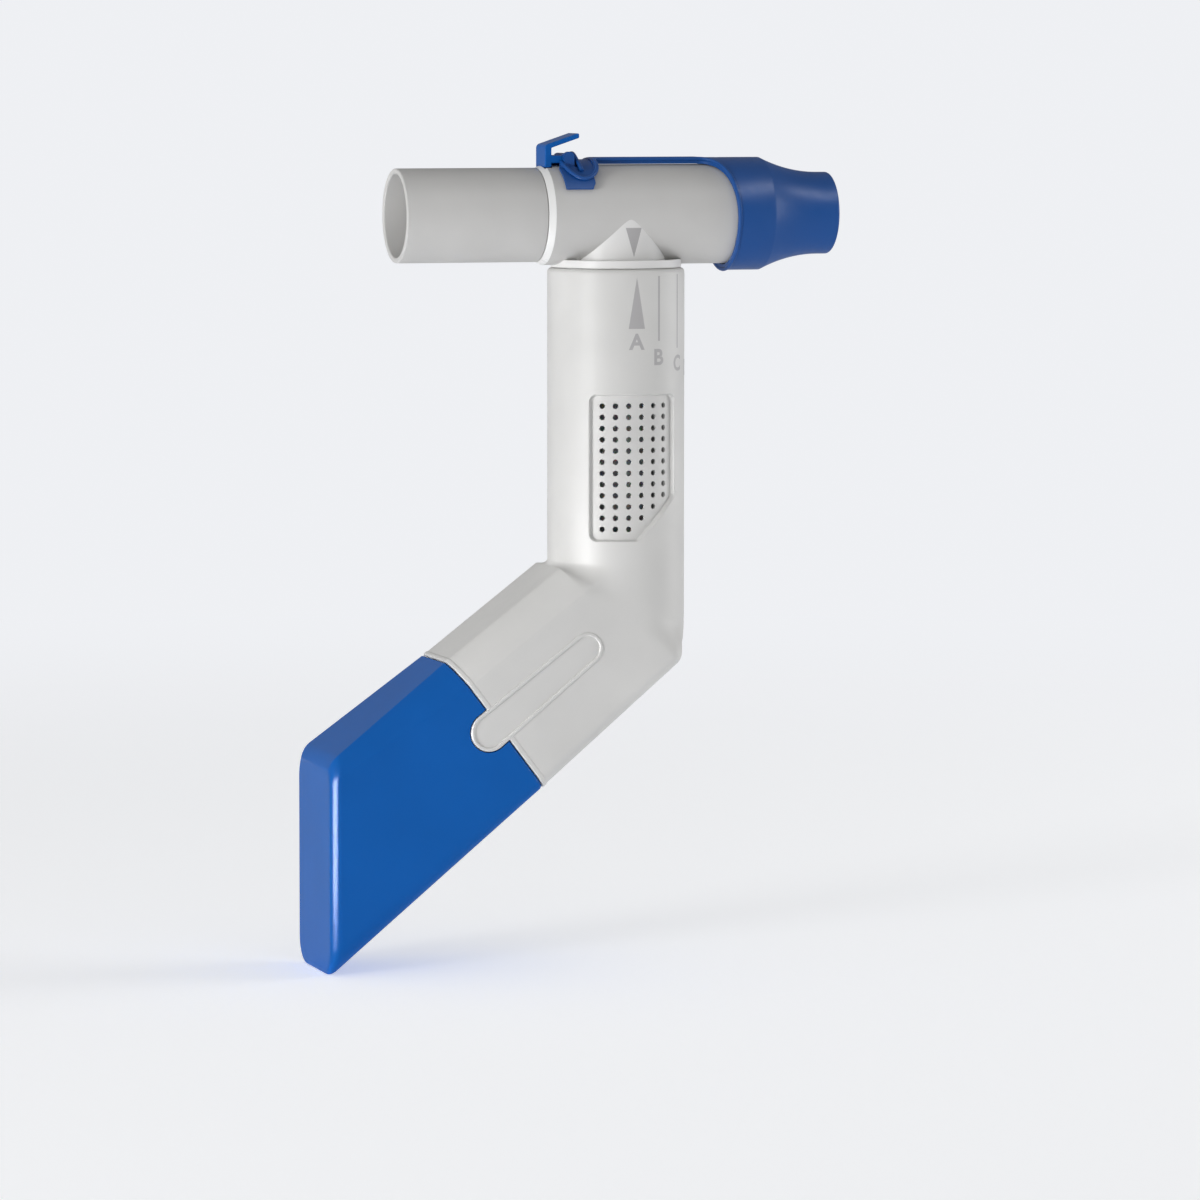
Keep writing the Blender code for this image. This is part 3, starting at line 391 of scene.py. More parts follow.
def linked(name, data):
    """A new object of the scene that holds this data."""
    made = bpy.data.objects.new(name, data)
    bpy.context.scene.collection.objects.link(made)
    return made


def mesh_of(shape, name="shape"):
    """Turns a bmesh into a mesh and frees the bmesh."""
    mesh = bpy.data.meshes.new(name)
    shape.to_mesh(mesh)
    shape.free()
    return mesh


def shape_of(mesh):
    """Turns a mesh into a bmesh and removes the mesh."""
    shape = bmesh.new()
    shape.from_mesh(mesh)
    bpy.data.meshes.remove(mesh)
    return shape


def welded(shape):
    """Merges the points that meet and turns the faces outwards."""
    bmesh.ops.remove_doubles(shape, verts=shape.verts, dist=MERGE)
    bmesh.ops.recalc_face_normals(shape, faces=shape.faces)
    return shape


def loft(rings, looped=False, open_rings=False):
    """Joins rings of equal length by quads. The ends are filled, or joined when looped.

    Open rings stay open between their last and their first point.
    """
    count = len(rings[0])
    points = [tuple(point) for ring in rings for point in ring]
    faces = []
    for row in range(len(rings) if looped else len(rings) - 1):
        low = row * count
        high = (row + 1) % len(rings) * count
        for index in range(count - 1 if open_rings else count):
            after = (index + 1) % count
            faces.append((low + index, low + after, high + after, high + index))
    if not looped:
        faces.append(tuple(range(count)))
        faces.append(tuple(range(len(points) - count, len(points))))
    mesh = bpy.data.meshes.new("loft")
    mesh.from_pydata(points, [], faces)
    return welded(shape_of(mesh))


def turned(profile, axis="Z", centre=(0, 0, 0), steps=TURN_STEPS, open_profile=False):
    """Spins a profile of (radius, height along the axis) points about the axis."""
    rings = []
    for index in range(steps):
        angle = math.tau * index / steps
        ring = [(r * math.sin(angle), -r * math.cos(angle), height) for r, height in profile]
        if axis == "X":
            ring = [(height, y, x) for x, y, height in ring]
        if axis == "Y":
            ring = [(x, height, y) for x, y, height in ring]
        rings.append([Vector(point) + Vector(centre) for point in ring])
    shape = loft(rings, looped=True, open_rings=open_profile)
    flat = [face for face in shape.faces if face.calc_area() < MERGE**2]
    bmesh.ops.delete(shape, geom=flat, context="FACES_ONLY")
    return shape


def rod(radius, low, high, axis="Z", centre=(0, 0, 0), steps=TURN_STEPS):
    return turned([(0, high), (radius, high), (radius, low), (0, low)], axis, centre, steps)


def prism(outline, low_y, high_y):
    """Extrudes an outline of (x, z) points along Y."""
    return loft([[(x, y, z) for x, z in outline] for y in (low_y, high_y)])


def flat_plate(outline):
    """A flat shape of (along, around) points, ready to be bent."""
    shape = bmesh.new()
    shape.faces.new([shape.verts.new((along, around, 0)) for along, around in outline])
    return shape


def lies_at(face, axis, distance):
    """Whether all of a face is at this distance from the origin along an axis."""
    return all(abs(abs(vert.co[axis]) - distance) < MERGE for vert in face.verts)


def bent(shape, inner, outer, axis, bend_r, open_end=None):
    """Thickens a flat shape of (along, around) points and bends it round an axis.

    With axis X, around starts at the crest and turns to the front. With axis Z it starts at
    the front and turns to +X. A plate of full length round closes into a ring, and open_end
    is the place along the axis where its end wall is left out.
    """
    half_round = math.pi * bend_r
    reach = max(abs(vert.co.y) for vert in shape.verts)
    cuts = min(int(reach / half_round * TURN_STEPS / 2) + 1, TURN_STEPS // 2 - 1)
    for index in range(-cuts, cuts + 1):
        everything = shape.verts[:] + shape.edges[:] + shape.faces[:]
        place = (0, index * math.tau / TURN_STEPS * bend_r, 0)
        cut = {"plane_co": place, "plane_no": (0, 1, 0)}
        bmesh.ops.bisect_plane(shape, geom=everything, dist=MERGE, **cut)
    grown = bmesh.ops.extrude_face_region(shape, geom=shape.faces[:])
    moved = [item for item in grown["geom"] if isinstance(item, bmesh.types.BMVert)]
    bmesh.ops.translate(shape, verts=moved, vec=(0, 0, outer - inner))
    seams = [face for face in shape.faces if lies_at(face, 1, half_round)]
    if open_end is not None:
        seams += [face for face in shape.faces if lies_at(face, 0, open_end)]
    bmesh.ops.delete(shape, geom=seams, context="FACES")
    for vert in shape.verts:
        along, angle, radius = vert.co.x, vert.co.y / bend_r, inner + vert.co.z
        if axis == "X":
            vert.co = (along, -radius * math.sin(angle), radius * math.cos(angle))
        else:
            vert.co = (radius * math.sin(angle), -radius * math.cos(angle), along)
    return welded(shape)


def swept(path, radius):
    """A round bead along a path of points, narrower at its closed ends."""
    path = [Vector(point) for point in path]
    path = [path[0]] + [b for a, b in zip(path, path[1:]) if (b - a).length > MERGE]
    across = Vector(BEAD_SIDE).normalized()
    rings = []
    for index, point in enumerate(path):
        before = path[max(index - 1, 0)]
        after = path[min(index + 1, len(path) - 1)]
        heading = (after - before).normalized()
        across = (across - heading * across.dot(heading)).normalized()
        up = heading.cross(across)
        ends = index in (0, len(path) - 1)
        size = radius * (BEAD_TIP_SHARE if ends else 1)
        turns = [math.tau * side / BEAD_SIDES for side in range(BEAD_SIDES)]
        rings.append([point + (across * math.cos(t) + up * math.sin(t)) * size for t in turns])
    return loft(rings)


def joined(*shapes):
    """One bmesh that holds all of these."""
    whole = bmesh.new()
    for shape in shapes:
        mesh = mesh_of(shape)
        whole.from_mesh(mesh)
        bpy.data.meshes.remove(mesh)
    return whole


def mirrored(shape):
    """The same shape on the other side of the XZ plane."""
    bmesh.ops.scale(shape, verts=shape.verts, vec=(1, -1, 1))
    bmesh.ops.reverse_faces(shape, faces=shape.faces)
    return shape


def combined(shape, other, operation):
    """The Boolean of two closed shapes."""
    things = [linked("operand", mesh_of(item)) for item in (shape, other)]
    modifier = things[0].modifiers.new("cut", "BOOLEAN")
    modifier.operation = operation
    modifier.solver = "MANIFOLD"
    modifier.object = things[1]
    result = bmesh.new()
    result.from_object(things[0], bpy.context.evaluated_depsgraph_get())
    for thing in things:
        bpy.data.objects.remove(thing)
    return result


def piece(name, shape, body, look, *nodes, sharp=SHARP_ANGLE):
    """Finishes a shape as a piece of the model that rides on a body and stands for its nodes."""
    bmesh.ops.translate(shape, verts=shape.verts, vec=PLACE)
    mesh = mesh_of(shape, name)
    mesh.shade_smooth()
    mesh.set_sharp_from_angle(angle=sharp)
    mesh.materials.append(look)
    made = linked(name, mesh)
    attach(made, body)
    if nodes:
        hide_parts(*nodes)
    return made


# Materials


def node(tree, kind, **values):
    """Adds a node. A value goes to the input of that name, or else to the property."""
    made = tree.nodes.new(kind)
    for name, value in values.items():
        label = name.replace("_", " ")
        if label in made.inputs:
            made.inputs[label].default_value = value
        else:
            setattr(made, name, value)
    return made


def noise(tree, scale, detail=FINE_DETAIL):
    """Noise in the object's own metres."""
    place = node(tree, "ShaderNodeTexCoord")
    made = node(tree, "ShaderNodeTexNoise", Scale=scale, Detail=detail)
    tree.links.new(place.outputs["Object"], made.inputs["Vector"])
    return made.outputs["Fac"]


def remapped(tree, value, low, high, start=0, end=1, kind="SMOOTHSTEP"):
    """Maps a value that runs from start to end to the range from low to high."""
    made = node(tree, "ShaderNodeMapRange", From_Min=start, From_Max=end, To_Min=low, To_Max=high)
    made.interpolation_type = kind
    tree.links.new(value, made.inputs["Value"])
    return made.outputs["Result"]


def spread(tree, source, low, high):
    """Maps the middle of a noise to a range."""
    return remapped(tree, source, low, high, NOISE_LOW, NOISE_HIGH, "LINEAR")


def moulded(name, slot, colour, roughness, specular=0.5, grain=GRAIN_DEPTH, **constants):
    """Injection-moulded plastic: faint flow marks, uneven gloss and a fine spark-eroded grain."""
    look = bpy.data.materials.new(name)
    look.use_nodes = True
    look["slot"] = slot
    tree = look.node_tree
    link = tree.links.new
    shader = tree.nodes["Principled BSDF"]
    shader.inputs["Specular IOR Level"].default_value = specular
    for label, value in constants.items():
        shader.inputs[label.replace("_", " ")].default_value = value
    flow = spread(tree, noise(tree, FLOW_SCALE, FLOW_DETAIL), 0, 1)
    mix = node(tree, "ShaderNodeMix", data_type="RGBA")
    for socket in mix.inputs:
        if socket.type == "RGBA" and socket.name in ("A", "B"):
            factor = 1 - FLOW_SHADE if socket.name == "A" else 1 + FLOW_SHADE
            socket.default_value = (*[c * factor for c in colour], 1)
    link(flow, mix.inputs["Factor"])
    output = next(socket for socket in mix.outputs if socket.type == "RGBA")
    link(output, shader.inputs["Base Color"])
    smooth, rough = roughness * (1 - GLOSS_SPREAD), roughness * (1 + GLOSS_SPREAD)
    gloss = spread(tree, noise(tree, GLOSS_SCALE), smooth, rough)
    link(gloss, shader.inputs["Roughness"])
    bump = node(tree, "ShaderNodeBump", Strength=GRAIN_STRENGTH, Distance=grain)
    link(noise(tree, GRAIN_SCALE), bump.inputs["Height"])
    link(bump.outputs["Normal"], shader.inputs["Normal"])
    return look


WHITE = moulded("white_moulding", "white_plastic", (0.66, 0.655, 0.64), 0.45, specular=0.3)
# The tubes' copy of the white plastic is darker: painted shade for the weaker light on the tee and
# nebuliser tube.
TUBE_PAINTED_SHADE = moulded("tube_painted_shade", "white_plastic", (0.60, 0.594, 0.582), 0.45, specular=0.12)
# The branch and flange's copy of the white plastic is lighter: painted light for the stronger light
# falling on them.
FLANGE_PAINTED_LIGHT = moulded("flange_painted_light", "white_plastic", (0.77, 0.765, 0.755), 0.4, specular=0.3)
# The lip's copy of the white plastic is much lighter: a painted highlight from the left lamp, with
# a smoother gloss.
LIP_PAINTED_HIGHLIGHT = moulded("lip_painted_highlight", "white_plastic", (0.86, 0.86, 0.85), 0.3, specular=0.3)
BLUE = moulded("blue_moulding", "blue_plastic", (0.006, 0.108, 0.42), 0.24, specular=0.08)
BLUE_SATIN = moulded("blue_satin", "blue_plastic", (0.010, 0.078, 0.30), 0.38, specular=0.25)
INK = moulded("grey_ink", "white_plastic", (0.435, 0.425, 0.43), 0.5, grain=INK_GRAIN_DEPTH)
SILICONE = moulded(
    "clear_silicone",
    "clear_silicone",
    (0.72, 0.74, 0.74),
    0.38,
    Subsurface_Weight=0.4,
    Subsurface_Scale=0.003,
)
SEAL = moulded("grey_seal", "grey_seal", (0.16, 0.17, 0.18), 0.55)


# Housing and cap


def leg_half_outline(half_height, half_depth, inset, share=0):
    """The (across, up) points of the leg's section from the middle of its top to that of its foot.

    The shoulder between the top and the side is a shallow arc, creased at both its edges.
    Share runs from 0 at the joint to 1 at the cap's end.
    """
    crease = between(CREASE_AT_JOINT, CREASE_AT_END, share) - inset * CREASE_INSET_SHARE
    drop = between(SHOULDER_AT_JOINT, SHOULDER_AT_END, share) - inset * SHOULDER_INSET_SHARE
    foot = between(FOOT_R, CAP_FOOT_R, share) - inset * FOOT_INSET_SHARE
    width = half_depth - crease
    shoulder_r = math.hypot(width, drop) / 2 / math.sin(SHOULDER_TURN / 2)
    start = math.pi / 2 - (math.atan2(drop, width) - SHOULDER_TURN / 2)
    centre = (crease - shoulder_r * math.cos(start), half_height - shoulder_r * math.sin(start))
    points = [(0, half_height)]
    points += arc(centre, shoulder_r, shoulder_r, start, start - SHOULDER_TURN, SECTION_STEPS)
    low = (half_depth - foot, foot - half_height)
    points += arc(low, foot, foot, 0, -math.pi / 2, SECTION_STEPS)
    points.append((0, -half_height))
    return np.array(points)


def leg_ring(top, low, inset, blend, low_blend=None):
    """A section between a point of the top line and one of the low line.

    Blend 0 is the neck's round form and 1 the leg's flat sides. The lower half may have a
    blend of its own.
    """
    top = Vector(top)
    low = Vector(low)
    low_blend = blend if low_blend is None else low_blend
    half_height = (top - low).length / 2 - inset
    half_depth = between(NECK_R, LEG_HALF_DEPTH, blend) - inset
    flat = leg_half_outline(half_height, half_depth, inset)
    angles = np.arctan2(flat[:, 1] / half_height, flat[:, 0] / half_depth)[::-1]
    folded = np.arcsin(np.sin(COLUMNS))
    round_across = half_depth * np.cos(folded)
    round_up = half_height * np.sin(folded)
    flatness = np.where(folded > 0, blend, low_blend)
    across = between(round_across, np.interp(folded, angles, flat[::-1, 0]), flatness)
    up = between(round_up, np.interp(folded, angles, flat[::-1, 1]), flatness)
    across = across * np.where(np.cos(COLUMNS) < 0, -1, 1)
    heading = (top - low).normalized()
    return np.array((top + low) / 2) + np.outer(up, heading) + np.outer(across, (0, 1, 0))


def inset_corners(corners, distance):
    """The corners of a convex outline moved in by a distance from each side."""
    centre = corners.mean(axis=0)
    lines = []
    for a, b in zip(corners, np.roll(corners, -1, axis=0)):
        along = (b - a) / np.linalg.norm(b - a)
        normal = np.array((-along[1], along[0]))
        normal = normal * np.sign((centre - a) @ normal)
        lines.append((a + normal * distance, along))
    moved = []
    for (a, along), (b, other) in zip([lines[-1]] + lines[:-1], lines):
        share = np.linalg.solve(np.array((along, -other)).T, b - a)[0]
        moved.append(a + along * share)
    return np.array(moved)


def outline_distance(points, corners):
    """Signed distance of points to a convex outline, negative inside."""
    centre = corners.mean(axis=0)
    nearest = np.full(len(points), np.inf)
    beyond = np.full(len(points), -np.inf)
    for a, b in zip(corners, np.roll(corners, -1, axis=0)):
        side = b - a
        share = np.clip((points - a) @ side / (side @ side), 0, 1)
        nearest = np.minimum(nearest, np.linalg.norm(points - a - np.outer(share, side), axis=1))
        normal = np.array((-side[1], side[0])) / np.linalg.norm(side)
        normal = normal * np.sign((a - centre) @ normal)
        beyond = np.maximum(beyond, (points - a) @ normal)
    return np.where(beyond < 0, -nearest, nearest)


def recess_corners():
    """The corners of a grille's recess as (distance round, height), moved in by their radius."""
    side = GRILLE_HALF_ANGLE * NECK_R
    corners = [
        (-side, GRILLE_TOP_Z),
        (-side, GRILLE_LOW_Z),
        (GRILLE_CUT_ANGLE * NECK_R, GRILLE_LOW_Z),
        (side, GRILLE_CUT_Z),
        (side, GRILLE_TOP_Z),
    ]
    return inset_corners(np.array(corners), GRILLE_CORNER_R)


RECESS_CORNERS = recess_corners()


def neck_ring(height, inset=0):
    """A ring of the neck, sunk where it crosses the grilles' recesses."""
    ring = leg_ring((-NECK_R, 0, height), (NECK_R, 0, height), inset, 0)
    if inset or height > GRILLE_TOP_Z + GRILLE_MARGIN or height < GRILLE_LOW_Z - GRILLE_MARGIN:
        return ring
    around = np.arctan2(ring[:, 0], np.abs(ring[:, 1])) * NECK_R
    places = np.column_stack([around, np.full(len(ring), height)])
    outside = outline_distance(places, RECESS_CORNERS) - GRILLE_CORNER_R
    depth = GRILLE_RECESS * smoothstep(0.5 - outside / GRILLE_EDGE)
    ring[:, :2] *= (1 - depth / NECK_R)[:, None]
    return ring


def elbow_rings(inset, steps):
    """The rings that turn the neck into the leg, fanned about the inside of the elbow."""
    turn = math.pi / 2 - LEG_ANGLE
    pivot = ELBOW_CORNER + Vector((-ELBOW_INNER_R, 0, ELBOW_INNER_R * math.tan(turn / 2)))
    rings = []
    for step in range(steps + 1):
        share = step / steps
        angle = turn * share
        outward = Vector((math.cos(angle), 0, -math.sin(angle)))
        to_side = (NECK_R - pivot.x) / outward.x
        facing = -outward.dot(LOW_UP)
        to_low = (pivot - JOINT_LOW).dot(LOW_UP) / facing if facing > MERGE else math.inf
        excess = math.exp(-abs(to_side - to_low) / ELBOW_SOFTNESS)
        reach = min(to_side, to_low) - ELBOW_SOFTNESS * math.log(1 + excess)
        blend = smoothstep(share)
        low_blend = smoothstep((share - LOW_FLAT_FROM) / (LOW_FLAT_TO - LOW_FLAT_FROM))
        ends = (pivot + outward * ELBOW_INNER_R, pivot + outward * reach)
        rings.append(leg_ring(*ends, inset, blend, low_blend=low_blend))
    return rings


def leg_station(along, inset):
    """A ring of the leg, at a distance past its joint."""
    top = JOINT_TOP + LEG_AXIS * along
    low = JOINT_LOW + (LEG_AXIS if along > 0 else LOW_AXIS) * along
    return leg_ring(top, low, inset, 1)


def neck_heights():
    """Heights of the neck's rings below its rounded edge, close together over the grilles."""
    grille_start = GRILLE_TOP_Z + GRILLE_MARGIN
    grille_end = GRILLE_LOW_Z - GRILLE_MARGIN
    start = NECK_TOP_Z - NECK_EDGE_R - COARSE_RING_STEP / 4
    above = np.arange(start, grille_start, -COARSE_RING_STEP)
    return np.concatenate([above, np.arange(grille_start, grille_end, -FINE_RING_STEP)])


def housing_rings():
    """The outside from the neck's top to the collar's end, then the inside back up."""
    edge_centre = (NECK_TOP_Z - NECK_EDGE_R, NECK_EDGE_R)
    edge = arc(edge_centre, NECK_EDGE_R, -NECK_EDGE_R, 0, math.pi / 2)
    rings = [neck_ring(height, inset) for height, inset in edge]
    rings += [neck_ring(height) for height in neck_heights()]
    rings += elbow_rings(0, ELBOW_STEPS)
    start = ELBOW_INNER_R - LEG_LENGTH
    rings += [leg_station(start + along, 0) for along in LEG_RING_PLACES]
    bead = arc((-SEAM_BEAD_HALF_WIDTH, 0), SEAM_BEAD_HALF_WIDTH, -SEAM_BEAD_HEIGHT, math.pi, 0)
    rings += [leg_station(along, inset) for along, inset in bead]
    collar = CAP_WALL + GAP
    collar_bore = collar + COLLAR_WALL
    stations = [
        (0, MOUTH_EDGE_R),
        (0, collar),
        (COLLAR_LENGTH, collar),
        (COLLAR_LENGTH, collar_bore),
        (-COLLAR_ROOT, collar_bore),
        (-COLLAR_ROOT - COLLAR_WALL, HOUSING_WALL),
    ]
    rings += [leg_station(along, inset) for along, inset in stations]
    rings += reversed(elbow_rings(HOUSING_WALL, ELBOW_STEPS // 3))
    shelf = NECK_R - BRANCH_R - GAP
    inside = [
        (SHELF_LOW_Z, HOUSING_WALL),
        (SHELF_LOW_Z, shelf),
        (SHELF_TOP_Z, shelf),
        (SHELF_TOP_Z, HOUSING_WALL),
        (NECK_TOP_Z, HOUSING_WALL),
    ]
    return rings + [neck_ring(height, inset) for height, inset in inside]


def grille_holes():
    """Every hole of the front grille, as radial rods."""
    holes = []
    first = -HOLE_STEP_ANGLE * (HOLE_COLUMNS - 1) / 2
    low = NECK_R - HOUSING_WALL - GRILLE_MARGIN
    for column in range(HOLE_COLUMNS):
        turn = Matrix.Rotation(first + HOLE_STEP_ANGLE * column, 3, "Z")
        missing = max(0, column - (HOLE_COLUMNS - HOLE_SHORT_COLUMNS) + 1)
        for row in range(HOLE_ROWS - missing):
            height = HOLE_TOP_Z - HOLE_PITCH * row
            hole = rod(HOLE_R, -NECK_R, -low, "Y", (0, 0, height), HOLE_SIDES)
            bmesh.ops.rotate(hole, verts=hole.verts, matrix=turn)
            holes.append(hole)
    return joined(*holes)


def pill_outline(margin=0):
    """The round-ended panel on the leg's side. Its wider end is the tongue over the cap."""
    outline = []
    places = (TONGUE_PLACE, PILL_FAR_PLACE)
    ends = [JOINT_MIDDLE + LEG_AXIS * along + LEG_UP * up for along, up in places]
    run = ends[0] - ends[1]
    start = math.atan2(run.z, run.x) - math.pi / 2
    for end, radius in zip(ends, (TONGUE_R + margin, PILL_FAR_R + margin)):
        outline += arc((end.x, end.z), radius, radius, start, start + math.pi, 4 * ARC_STEPS)
        start += math.pi
    return outline


def panel():
    """The front panel, a low plate inside a raised bead."""
    plate = LEG_HALF_DEPTH - TONGUE_PLATE_DEPTH
    width = TONGUE_BEAD_HALF_WIDTH
    profile = [(0, LEG_HALF_DEPTH - TONGUE_DEPTH)]
    profile += arc((width, plate), width, TONGUE_BEAD_HEIGHT, math.pi, 0)
    profile.append((TONGUE_PLATE_INSET, plate))
    return loft([[(x, -y, z) for x, z in pill_outline(-inset)] for inset, y in profile])


def panel_recess():
    """The front tool that sinks the leg's side under the panel."""
    outline = pill_outline(-TONGUE_BEAD_HALF_WIDTH)
    return prism(outline, -LEG_HALF_DEPTH - TONGUE_RECESS, TONGUE_RECESS - LEG_HALF_DEPTH)


def housing():
    shape = loft(housing_rings(), looped=True)
    shape = combined(shape, joined(grille_holes(), mirrored(grille_holes())), "DIFFERENCE")
    shape = combined(shape, joined(panel_recess(), mirrored(panel_recess())), "DIFFERENCE")
    shape = joined(shape, panel(), mirrored(panel()))
    piece("neck_and_leg", shape, "housing", WHITE, "housing")


def cap_ring(share, end_x, inset):
    """A ring of the cap: share 0 is its mouth and share 1 the upright line at end_x."""
    ends = []
    for joint, axis in ((JOINT_TOP, LEG_AXIS), (JOINT_LOW, LOW_AXIS)):
        mouth = joint + LEG_AXIS * GAP
        ends.append(mouth.lerp(joint + axis * ((end_x - joint.x) / axis.x), share))
    top, low = ends
    half_height = (top - low).length / 2 - inset
    half = leg_half_outline(half_height, LEG_HALF_DEPTH - inset, inset, share)
    outline = [tuple(point) for point in half] + [(-across, up) for across, up in half[-2:0:-1]]
    middle, heading = (top + low) / 2, (top - low).normalized()
    return [middle + heading * up + Vector((0, across, 0)) for across, up in outline]


def end_cap():
    rings = [cap_ring(0, CAP_END_X, CAP_WALL)]
    for inset in (MOUTH_EDGE_R, 0):
        rings.append(cap_ring((MOUTH_EDGE_R - inset) / CAP_LENGTH, CAP_END_X, inset))
    rings += [cap_ring(share, CAP_END_X + CAP_EDGE_R, 0) for share in CAP_RING_SHARES]
    for step in range(CAP_EDGE_STEPS + 1):
        angle = math.pi / 2 * step / CAP_EDGE_STEPS
        end_x = CAP_END_X + CAP_EDGE_R * (1 - math.sin(angle))
        rings.append(cap_ring(1, end_x, CAP_EDGE_R * (1 - math.cos(angle))))
    rings.append(cap_ring(1, CAP_END_X, CAP_EDGE_R * CAP_FACE_INSET_SHARE))
    inner = [cap_ring(share, CAP_END_X + CAP_WALL, CAP_WALL) for share in (1, 0.5)]
    shape = loft(inner + rings)
    notch_low = LEG_HALF_DEPTH - CAP_WALL - GAP
    notch_high = LEG_HALF_DEPTH + CAP_WALL
    for low, high in ((-notch_high, -notch_low), (notch_low, notch_high)):
        shape = combined(shape, prism(pill_outline(GAP), low, high), "DIFFERENCE")
    piece("end_cap_cover", shape, "cap", BLUE, "end_cap", sharp=CAP_SHARP_ANGLE)


# Breathing tube


def tee():
    level = [
        (0, TEE_RIGHT_X, 0),
        (TEE_R, TEE_RIGHT_X, 0),
        (TEE_R, TEE_SHOULDER_X, TEE_SHOULDER_R),
        (NEBULISER_R, TEE_LEFT_X, TEE_TIP_R),
        (0, TEE_LEFT_X, 0),
    ]
    branch = [
        (0, 0, 0),
        (BRANCH_R, 0, 0),
        (BRANCH_R, FLANGE_LEDGE_Z, FLANGE_EDGE_R),
        (FLANGE_R - FLANGE_LIP_WIDTH, FLANGE_LEDGE_Z, FLANGE_EDGE_R),
        (FLANGE_R - FLANGE_LIP_WIDTH, FLANGE_LIP_Z, FLANGE_EDGE_R),
        (FLANGE_R, FLANGE_LIP_Z, FLANGE_EDGE_R),
        (FLANGE_R, FLANGE_FOOT_Z, FLANGE_EDGE_R),
        (BRANCH_R, FLANGE_FOOT_Z, 0),
        (BRANCH_R, SPIGOT_END_Z, 0),
        (0, SPIGOT_END_Z, 0),
    ]
    level = turned(rounded(level, TEE_ARC_STEPS), "X")
    shape = combined(level, turned(rounded(branch, TEE_ARC_STEPS)), "UNION")
    reach = TEE_R / 2
    bore = rod(TUBE_BORE_R, TEE_LEFT_X - reach, TEE_RIGHT_X + reach, "X")
    shape = combined(shape, bore, "DIFFERENCE")
    shape = combined(shape, rod(BRANCH_BORE_R, SPIGOT_END_Z - reach, 0), "DIFFERENCE")
    left, right = POST_LEFT_X - GAP, POST_LEFT_X + POST_THICKNESS + GAP
    low, high = POST_FOOT_Z - GAP, TEE_R + reach
    pocket = [(left, low), (right, low), (right, high), (left, high)]
    pocket = prism(pocket, -LEVER_HALF_WIDTH - GAP, LEVER_HALF_WIDTH + GAP)
    shape = combined(shape, pocket, "DIFFERENCE")
    made = piece("breathing_tee", shape, "tee", TUBE_PAINTED_SHADE, "tee_body", sharp=TEE_SHARP_ANGLE)
    # The tee takes the darker painted-shade copy of the white plastic, its lip the
    # painted-highlight copy and its branch and flange the lighter painted-light copy.
    made.data.materials.append(LIP_PAINTED_HIGHLIGHT)
    made.data.materials.append(FLANGE_PAINTED_LIGHT)
    shoulder = TEE_SHOULDER_X + PLACE.x
    for face in made.data.polygons:
        on_lip = all(made.data.vertices[index].co.x < shoulder + MERGE for index in face.vertices)
        middle = face.center - PLACE
        from_axis = math.hypot(middle.y, middle.z)
        if on_lip and from_axis > NEBULISER_R:
            face.material_index = 1
        elif from_axis > TEE_R:
            face.material_index = 2


def nebuliser_tube():
    plug_end = NEBULISER_SHOULDER_X + NEBULISER_PLUG_LENGTH
    throat = NEBULISER_SHOULDER_X - (TUBE_BORE_R - NEBULISER_PLUG_BORE_R)
    profile = [
        (NEBULISER_R, NEBULISER_END_X, RIM_EDGE_R),
        (NEBULISER_R, NEBULISER_SHOULDER_X, RIM_EDGE_R / 2),
        (NEBULISER_PLUG_R, NEBULISER_SHOULDER_X, 0),
        (NEBULISER_PLUG_R, plug_end, 0),
        (NEBULISER_PLUG_BORE_R, plug_end, 0),
        (NEBULISER_PLUG_BORE_R, NEBULISER_SHOULDER_X, 0),
        (TUBE_BORE_R, throat, 0),
        (TUBE_BORE_R, NEBULISER_END_X, RIM_EDGE_R),
    ]
    shape = turned(rounded(profile), "X")
    # The tube takes the darker painted-shade copy of the white plastic.
    piece("nebuliser_inlet_tube", shape, "nebuliser", TUBE_PAINTED_SHADE, "nebuliser_tube")


def strap_half_edge():
    """The edge from the collar's bottom to the saddle's left end, as (x, distance round) points."""
    sweep = (COLLAR_EDGE_X - EDGE_SWEEP_ALONG, STRAP_HALF_WIDTH + EDGE_SWEEP_AROUND)
    fillet = (SADDLE_RIGHT_X + SADDLE_FILLET, STRAP_HALF_WIDTH + SADDLE_FILLET)
    lobe = (SADDLE_MIDDLE_X, SADDLE_STRAIGHT)
    bottom = math.pi * STRAP_MID_R
    shares = [step / COLLAR_EDGE_STEPS for step in range(COLLAR_EDGE_STEPS)]
    edge = [(COLLAR_EDGE_X, between(bottom, sweep[1], share)) for share in shares]
    edge += arc(sweep, EDGE_SWEEP_ALONG, EDGE_SWEEP_AROUND, 0, -math.pi / 2, 5 * ARC_STEPS)
    edge += arc(fillet, SADDLE_FILLET, SADDLE_FILLET, -math.pi / 2, -math.pi)
    edge += arc(lobe, SADDLE_HALF_LENGTH, SADDLE_LOBE, 0, math.pi, 4 * ARC_STEPS)
    return edge


def mouthpiece_outline():
    """The unrolled strap, latch saddle and collar."""
    notch_x = PIVOT_X + BARREL_R + GAP
    notch_side = LEVER_HALF_WIDTH + GAP
    half = [(TAPER_START_X, math.pi * STRAP_MID_R)] + strap_half_edge()
    half += [(SADDLE_LEFT_X, notch_side), (notch_x, notch_side)]
    return half + [(x, -around) for x, around in reversed(half)]


